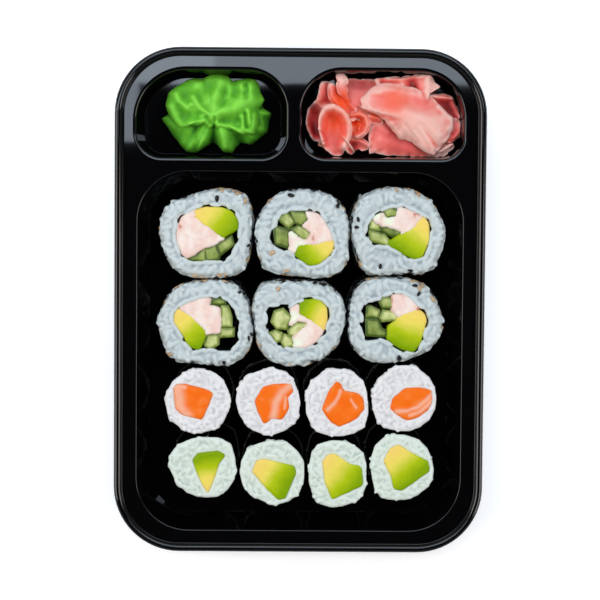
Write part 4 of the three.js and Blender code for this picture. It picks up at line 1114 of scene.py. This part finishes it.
# each fold: its line of points in the tray's frame, its height (a furrow if negative) and half width
lower_folds = (
    (((-39, 80), (-44.6, 67)), 3, 2.2), (((-40, 80), (-48.6, 66.6)), 2.4, 2.4),
    (((-37, 79), (-33.6, 67)), 3, 2.4), (((-36, 79), (-30.8, 67)), 2, 1.8),
    (((-39.6, 80), (-42.4, 70)), 2.2, 1.2), (((-38.6, 77), (-38.8, 70)), -3, 2.4),
    (((-46.8, 77), (-47, 67)), -1.6, 1.6), (((-50, 77), (-57.6, 77.4)), 1.6, 3),
    (((-50, 75), (-52.8, 70)), 1.4, 2.4), (((-28, 78), (-17, 76)), 2, 2),
    (((-20, 84), (-14.4, 82.8)), 2, 1.6), (((-24, 75), (-20, 71.4)), 1.6, 1.8),
    (((-28, 73), (-26.4, 70.4)), -1.6, 1.6), (((-18, 83), (-16.4, 77)), 1.6, 1.2))
upper_folds = (
    (((-38.6, 80.6), (-37.4, 86), (-35.4, 96)), 2, 2.4),
    (((-38.4, 81), (-30, 84.4), (-23, 89.6)), 2.6, 2.6),
    (((-38.8, 80.4), (-43, 78.4), (-48.6, 77.4)), 2.2, 1.8),
    (((-39.4, 81), (-44.6, 84.6), (-47.4, 89.6)), 1.8, 1.2),
    (((-50.6, 85), (-54, 88), (-55, 91)), 2, 1.4), (((-50.6, 85), (-48.6, 86.4)), 1.2, 1),
    (((-57.6, 85), (-55, 79.4), (-52.6, 76.4)), 1.4, 1.8), (((-41.6, 82.4), (-44, 81)), 1.4, 1.2),
    (((-38.4, 80), (-35.6, 77)), 2, 1.2), (((-36, 77.4), (-31, 76), (-26.4, 73.8)), 2.2, 1.8),
    (((-26.2, 81), (-25.4, 75.8)), 1.8, 1.3), (((-23.6, 84), (-22.8, 78.4)), 1.8, 1.2),
    (((-20.4, 82), (-20.8, 76)), 1.4, 1.1), (((-26, 75.6), (-21.4, 74)), 1.4, 1.2),
    (((-50, 91), (-44, 91.4), (-41, 94)), -1.2, 2.6), (((-35.4, 88), (-33.8, 91.6)), -1.8, 2.2),
    (((-34, 80), (-28, 79.6)), -2.6, 2.6), (((-28.6, 95.6), (-29.4, 91)), -1.8, 1.8),
    (((-26.6, 95), (-25, 93.4)), 1.6, 1.6), (((-22.6, 94.6), (-22.4, 91.6)), 1.4, 1.4),
    (((-24.6, 94.6), (-24, 90)), -1.6, 1.3), (((-24.8, 82), (-24.2, 77)), -1.8, 1),
    (((-40.2, 78.6), (-41.4, 80)), -1.6, 0.9), (((-37.8, 80.4), (-38, 79.4)), -1.8, 0.9),
    (((-46, 82), (-52, 81.4)), -1, 2), (((-45.4, 95), (-40.6, 88)), 1.1, 2.2),
    (((-32, 96), (-33.6, 90)), 1, 1.6))


def sum_of_folds(spots, folds):
    """The height that folds add at each spot: the highest ridge and the deepest furrow there"""
    ridge, furrow = np.zeros(len(spots)), np.zeros(len(spots))
    for line, height, half_width in folds:
        near = np.exp(-(away_from(np.array(line), spots) / (1.2 * half_width)) ** 2) * height
        ridge, furrow = np.maximum(ridge, near), np.minimum(furrow, near)
    return ridge + furrow


def edge_of(outline, angles):
    """How far an outline lies from its middle, in each direction"""
    turns = np.arctan2(*outline.T[::-1])
    order = np.argsort(turns)
    return np.interp(angles, turns[order], np.hypot(*outline.T)[order], period=2 * math.pi)


def heap_of_paste(outline, foot, top, folds):
    """A closed heap on an outline, rounded at the edge and nearly level on top, with its folds"""
    unselect()
    bpy.ops.mesh.primitive_uv_sphere_add(segments=240, ring_count=150, radius=1)
    heap = bpy.context.object
    points = np.array([vertex.co[:] for vertex in heap.data.vertices])
    angles = np.arctan2(points[:, 1], points[:, 0])
    down = np.arccos(np.clip(points[:, 2], -1, 1)) / math.pi * 2
    edge = edge_of((np.array(outline) - knob_centre) * paste_spread, angles)
    out = np.where(down < 1, down, 2 - down)
    spots = knob_centre + np.column_stack([np.cos(angles), np.sin(angles)]) * (edge * out)[:, None]
    pleats = sum_of_folds(spots, folds)
    swell = np.array([noise.noise(Vector((x / paste_lump, y / paste_lump, foot))) for x, y in spots])
    body = np.sqrt(np.clip(1 - out ** 4, 0, 1))
    upper = body * (top - foot + pleats + paste_swell * swell) + 0.5 * pleats * (1 - body)
    height = np.where(down < 1, upper, 0)
    for vertex, spot, z in zip(heap.data.vertices, spots, height):
        vertex.co = (spot[0] * mm, spot[1] * mm, min((foot + max(z, 0)) * mm, knob_high.z))
    return heap


paste_foot = knob_low.z / mm
paste_top = knob_high.z / mm
lower_top = paste_foot + 6.6
upper_foot = paste_foot + 4.4
fold_room = 3  # what the folds add to the upper heap's height
lower_heap = heap_of_paste(lower_outline, paste_foot, lower_top, lower_folds)
upper_heap = heap_of_paste(upper_outline, upper_foot, paste_top - fold_room, upper_folds)
knob = fused("wasabi_knob", [lower_heap, upper_heap], voxel=0.3, smoothing=2)
roughen(knob, size=2.4, depth=0.3)
relief(knob, "crest", rounds=60, reach=2.4)
knob_height = knob_high.z - knob_low.z
# the share of the knob's height at each point, which the colour uses to paint shade low down
paint(knob, "level", [(vertex.co.z - knob_low.z) / knob_height for vertex in knob.data.vertices])
paste = Finish("wasabi", linear(110, 190, 60), roughness=0.5, shine=0.15)
grit = paste.mottled(scale=120, detail=6, relief=0.1)
# painted light and shade: the paste is lighter on its ridges and high up, darker in its furrows and low
# down
raised = paste.sum(paste.painted("level"), 0.4, paste.sum(paste.painted("crest"), 0.52, 0.08))
stand_out = paste.sum(grit, 0.3, raised)
paste.coloured(paste.shaded(
    stand_out, (0.36, linear(26, 70, 16)), (0.55, linear(60, 128, 30)), (0.74, linear(100, 182, 46)),
    (0.94, linear(138, 222, 74))))
paste.translucent(0.15, depth=0.8, radii=(0.5, 1, 0.3))
knob.data.materials.append(paste.material)
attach(knob, "root")
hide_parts("wasabi")


# ---- Ginger ----
# Pickled ginger shaved into slices a millimetre thick, pink at the edge and orange in the
# middle, folded and piled in the pocket. Each slice is a sheet drawn to its own outline.

ginger_floor = pocket_mouths["ginger"]["floor"]
slice_wall = 0.9
slice_steps = 52
frill_size, frill_height = 2.6, 1.1  # the crinkle of a slice's edge
swell_size, swell_height = 9, 0.9  # the slower waves all over it
heap_squash = 0.34  # the plain heap under the slices is pressed down to this share of its height
wall_gap = 0.15  # what stays free between a slice and the pocket
# each slice, in the tray's frame in mm: its outline, how high its edge lies above the pocket's
# floor, how far its middle crowns, how it leans across X and Y, its folds (a line of points, a
# height, or a depth if negative, and a half width), and where it is orange, shaded deep red as
# painted shade, or pale (a point, a radius and a strength)
ginger_slices = (
    dict(
        outline=(
            (17.6, 97.4), (26.3, 98), (34, 97.6), (38, 92), (34, 84), (26, 80), (20, 84), (17.4, 90)),
        edge=6.4, crown=1, lean=(0, -0.04), folds=((((20, 96), (34, 96)), -0.8, 2),),
        deep=(27, 96.6, 5, 0.5)),
    dict(
        outline=(
            (56, 92.4), (60, 92), (66.8, 91), (68.6, 87.7), (70.6, 83.8), (71, 79.6), (66, 76),
            (58, 80), (54, 87)),
        edge=6.6, crown=0.4, lean=(-0.02, 0.02),
        folds=((((56, 91.2), (66.6, 90)), 2.2, 1.1), (((66.4, 90), (70, 82)), 1.4, 1.2)),
        deep=(64.4, 85.6, 5.4, 1.1)),
    dict(
        outline=(
            (30.4, 78), (33, 84), (40, 86), (50, 80), (58, 72), (63, 67), (60, 64.8), (48.5, 64.8),
            (41.5, 65), (36.4, 65.1), (33, 66), (30.6, 65.4), (30.6, 70.2)),
        edge=5.6, crown=1.4, lean=(0, 0),
        folds=((((36, 72), (48, 67)), 0.7, 2.5), (((34, 79), (38, 75)), 0.6, 1.6)),
        deep=(45, 71, 16, 0.42)),
    dict(
        outline=(
            (8.6, 97), (11.2, 97.3), (13.2, 96.8), (15.8, 93.9), (18.6, 88), (17.4, 80), (14, 72),
            (9, 70.4), (5.6, 71.2), (3.7, 74), (2.5, 77), (2.2, 80.6), (2.9, 83.6), (4.9, 86.8),
            (7, 89.3), (8.1, 92.6)),
        edge=6.4, crown=-1.6, lean=(0, 0.1),
        folds=(
            (((8.8, 95.6), (8.7, 91), (7.3, 87.6), (9.6, 85.6)), 2.8, 1.8),
            (((3.2, 83), (2.9, 78), (5, 73)), 1.4, 0.9), (((6, 83), (6.6, 75)), -2.4, 1.9)),
        deep=(6.6, 77, 4.4, 0.85)),
    dict(
        outline=(
            (21, 72.6), (25.8, 72.8), (29, 71.4), (31.2, 69), (29.7, 67.4), (25.8, 67.6), (22.6, 67.2),
            (20.2, 69.4)),
        edge=5.4, crown=0.4, lean=(0, 0), folds=((((21, 71.6), (26, 71.4), (30.2, 69.2)), 2, 1.1),),
        deep=(23.6, 69, 2.2, 1)),
    dict(
        outline=(
            (12, 96.4), (14.3, 95.8), (16.6, 93), (19.6, 90.8), (21.6, 87.4), (24.6, 84.6), (24, 80),
            (20, 80), (15.6, 84.6), (13, 88.3), (11.6, 92)),
        edge=8.4, crown=0.2, lean=(0, 0.06),
        folds=(
            (((12.6, 95), (13.8, 90.4), (17.4, 85.4), (20.6, 82)), 2, 1.4),
            (((16.2, 92), (21.4, 84.4)), -1.4, 1.4)),
        orange=(18.4, 89, 5.6, 1.2)),
    dict(
        outline=(
            (15.2, 100), (17, 100.8), (19, 100.3), (20.5, 98.2), (20, 95), (20.4, 91.8), (20.6, 89),
            (17.9, 90.6), (15.7, 93.8), (15.8, 97)),
        edge=10.4, crown=1.6, lean=(0, 0.1), folds=(), orange=(19.2, 90.6, 2.6, 0.9),
        pale=(18, 99, 4, 0.5)),
    dict(
        outline=((29.8, 82.8), (33, 84), (36.8, 82), (36.4, 79.2), (33.4, 78.4), (31, 79)), edge=7.4,
        crown=0.6, lean=(0, 0),
        folds=((((30.6, 82), (35.6, 80.4)), 1.4, 0.9), (((32, 80), (35.4, 79.6)), -1.2, 0.7)),
        orange=(33, 82, 3, 0.8)),
    dict(
        outline=(
            (32.4, 98.4), (36.1, 98.9), (39, 99.2), (42, 99.6), (44, 99), (48.8, 99.8), (53.3, 100.4),
            (56.4, 100.4), (58.2, 98.6), (59.2, 96.6), (61.6, 95), (58.8, 93.4), (56.6, 92), (55.4, 88),
            (48, 89), (38, 91), (33.4, 95)),
        edge=10, crown=0.8, lean=(0.06, 0.02),
        folds=(
            (((55.9, 99.4), (55.5, 90.8)), 1.6, 1.3), (((48.4, 97.6), (50, 93.4)), -2.6, 2),
            (((38, 98.4), (44, 98), (54, 99.6)), 1.2, 0.9), (((36, 97), (42, 96)), -1, 1)),
        deep=(49.4, 96, 2.4, 0.9), pale=(57.4, 97, 4, 0.5)),
    dict(
        outline=(
            (7.6, 77.8), (7.9, 81.4), (9.3, 85), (11.4, 87), (14.4, 86.9), (17.4, 85.6), (20.4, 82.6),
            (22.2, 78.6), (22.5, 74), (20.8, 69.6), (19.4, 66.8), (21.4, 66.2), (23.6, 65.8),
            (22.4, 65), (18.6, 65.3), (17.4, 64.6), (15.4, 64.3), (13, 65.8), (10.6, 67.8), (7.8, 68.9),
            (9.2, 70.6), (8.2, 74)),
        edge=8.8, crown=-2.6, lean=(0, 0.14),
        folds=(
            (((8.1, 76), (8.4, 81), (10.6, 84.6), (14.4, 85.2), (18.4, 82.8), (20.6, 78.6), (21, 74),
              (19.2, 68.6)), 4.6, 1.9),
            (((10, 69.8), (8.3, 75), (8.3, 79)), 3.4, 0.9)),
        orange=(15, 79, 5.2, 1)),
    dict(
        outline=(
            (21.6, 82.6), (24, 84.8), (27, 85.4), (29.4, 83.6), (30.8, 80.6), (30.6, 76.6),
            (28.6, 73.6), (25.8, 71.8), (22.4, 72.2), (21.4, 76.5), (21.4, 80)),
        edge=7, crown=-0.6, lean=(0, 0),
        folds=(
            (((22.6, 82), (25.6, 83), (28.4, 81.6), (29.4, 78), (28, 74.8), (25, 73)), 3.4, 1.3),
            (((23.6, 80.6), (24, 79.4)), -2, 1), (((26, 77.4), (25.8, 76)), 2, 0.8)),
        orange=(23.8, 79, 5.4, 1.2)),
    dict(
        outline=(
            (58, 66), (62.2, 67.6), (65.6, 69.9), (67.8, 70.4), (68.2, 69), (65.6, 66.6), (62.2, 64.7),
            (59, 64.6)),
        edge=6.4, crown=0.3, lean=(0, 0),
        folds=((((59, 66), (62.8, 67), (67, 69.8)), 2, 0.7), (((61, 65.4), (66, 68)), 0.9, 0.7)),
        pale=(64, 68, 5, 0.5)),
    dict(
        outline=(
            (61, 76), (64, 80), (68.8, 81.4), (71.2, 79), (71.2, 75), (69, 72), (65, 70.4), (62, 71)),
        edge=8, crown=1.2, lean=(0.02, 0.02),
        folds=((((70.4, 79), (70.2, 75.4), (68, 72.6)), 1, 0.8), (((64, 73), (62.4, 70.8)), -1.6, 1.2)),
        deep=(66.6, 74.6, 3.6, 0.6)),
    dict(
        outline=(
            (24.4, 86.4), (26, 89.4), (28.4, 92), (32.4, 95.2), (36.4, 96.5), (41.5, 96.5),
            (46.5, 95.2), (51.6, 94), (55.8, 91.7), (60.4, 87.8), (64.4, 83.8), (67.4, 81.4),
            (67.6, 76), (65.6, 72.4), (63.2, 70), (60.9, 66.6), (59.4, 64.7), (55.1, 66.2),
            (51.6, 68.6), (49.1, 70.7), (46.5, 71.6), (43.6, 71.8), (42, 74.1), (39.6, 76.8), (37, 80),
            (34, 82.4), (30.4, 84), (27.2, 85.8)),
        edge=9.4, crown=5.6, lean=(0, 0.02),
        folds=(
            (((33, 93), (42, 94), (52, 91.6)), 0.8, 1.6), (((46, 84), (52, 80.6), (60, 74)), 0.6, 2),
            (((50, 76), (57, 68)), -0.7, 1), (((53, 78), (60, 68.6)), -0.8, 1),
            (((46, 78), (52, 71)), -0.5, 0.8),
            (((30, 85), (36, 82), (41, 76.4), (44, 72.8)), 0.9, 1.1)),
        orange=(41.4, 88.4, 6, 0.9), deep=(56, 88, 6, 0.4), pale=(52, 78, 11, 0.45)))


untinted = (0, 0, 1, 0)  # a spot of no strength


def spot_mask(spots, x, y, radius, strength):
    """A soft round mask about a point"""
    distance = np.linalg.norm(spots - np.array((x, y)), axis=1)
    return strength * np.exp(-(distance / radius) ** 2)


def shaving(seed, outline, edge, crown, lean, folds, **tinted):
    """One slice: a sheet spread out to an outline, crowned, leaned and folded"""
    unselect()
    bpy.ops.mesh.primitive_grid_add(x_subdivisions=slice_steps, y_subdivisions=slice_steps, size=2)
    sheet = bpy.context.object
    corners = np.array(outline)
    middle = (corners.max(axis=0) + corners.min(axis=0)) / 2
    flat = seen_from_above(sheet)
    out = np.abs(flat).max(axis=1)
    angles = np.arctan2(flat[:, 1], flat[:, 0])
    reach = edge_of(corners - middle, angles)
    spots = middle + np.column_stack([np.cos(angles), np.sin(angles)]) * (reach * out)[:, None]
    frill = [noise.noise(Vector((x / frill_size, y / frill_size, seed))) for x, y in spots]
    swell = [noise.noise(Vector((x / swell_size, y / swell_size, seed + 0.5))) for x, y in spots]
    height = (ginger_floor + edge + crown * (1 - out ** 2) + (spots - middle) @ np.array(lean)
              + sum_of_folds(spots, folds) + frill_height * np.array(frill) * out ** 6
              + swell_height * np.array(swell))
    for vertex, spot, z in zip(sheet.data.vertices, spots, height):
        vertex.co = Vector((*spot, z)) * mm
    paint(sheet, "rim", out)
    for name in ("orange", "deep", "pale"):
        paint(sheet, name, spot_mask(spots, *tinted.get(name, untinted)))
    smooth(sheet)
    thicken(sheet, slice_wall)
    finish_modifiers(sheet)
    return sheet


def held_in(x, y, z, sides, radii, floor, draft, mouth):
    """A point moved inside the walls of a pocket, which lean in from its mouth to its floor"""
    left, right, bottom, top = sides
    inset = draft * (deck_height - mouth - z) / (deck_height - mouth - floor) + wall_gap
    x = min(max(x, left + inset), right - inset)
    y = min(max(y, bottom + inset), top - inset)
    corners = ((right, top), (left, top), (left, bottom), (right, bottom))
    for (corner_x, corner_y), radius in zip(corners, radii):
        centre = Vector((corner_x + math.copysign(radius, x - corner_x),
                         corner_y + math.copysign(radius, y - corner_y)))
        out = Vector((x, y)) - centre
        in_corner = (corner_x - centre.x) * out.x > 0 and (corner_y - centre.y) * out.y > 0
        if in_corner and out.length > radius - inset:
            x, y = centre + out.normalized() * (radius - inset)
    return Vector((x, y, z))


slices = [shaving(seed, **slice_sizes) for seed, slice_sizes in enumerate(ginger_slices)]
heap = even_copy("ginger", "ginger_heap", voxel=0.8, smoothing=10, shrink=1.2)
for vertex in heap.data.vertices:
    vertex.co.z = ginger_floor * mm + (vertex.co.z - ginger_floor * mm) * heap_squash
# the heap under the slices is painted all over in the deepest red, as painted shade
paint(heap, "deep", [1] * len(heap.data.vertices))
ginger = joined("ginger_slices", [*slices, heap])
for vertex in ginger.data.vertices:
    x, y, z = vertex.co / mm
    vertex.co = held_in(x, y, max(z, ginger_floor + 0.1), **pocket_mouths["ginger"]) * mm
relief(ginger, "crest", rounds=14, reach=2)
pickled = Finish("ginger", linear(246, 140, 128), roughness=0.35, shine=0.3)
fibres = pickled.mottled(scale=90, detail=5, relief=0.12, stretch=(0.5, 1.2, 0.6))
edge_light = pickled.nodes.new("ShaderNodeMath")
edge_light.operation = "POWER"
edge_light.inputs[1].default_value = 8
pickled.link(pickled.painted("rim"), edge_light.inputs[0])
# painted light and shade: slices are paler where they stand out, deeper red in their hollows and in the
# shade spots
raised = pickled.sum(pickled.painted("pale"), 0.8, pickled.painted("crest"))
tone = pickled.sum(edge_light.outputs["Value"], 0.2, raised)
paleness = pickled.sum(fibres, 0.4, pickled.sum(pickled.painted("deep"), -0.55, tone))
blush = pickled.shaded(
    paleness, (0.1, linear(140, 26, 26)), (0.42, linear(212, 74, 70)), (0.7, linear(246, 122, 110)),
    (1, linear(255, 192, 178)))
pickled.coloured(pickled.mixed(pickled.painted("orange"), blush, linear(255, 96, 52)))
pickled.translucent(0.35, depth=1.4, radii=(1, 0.35, 0.25))
ginger.data.materials.append(pickled.material)
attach(ginger, "root")
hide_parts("ginger")
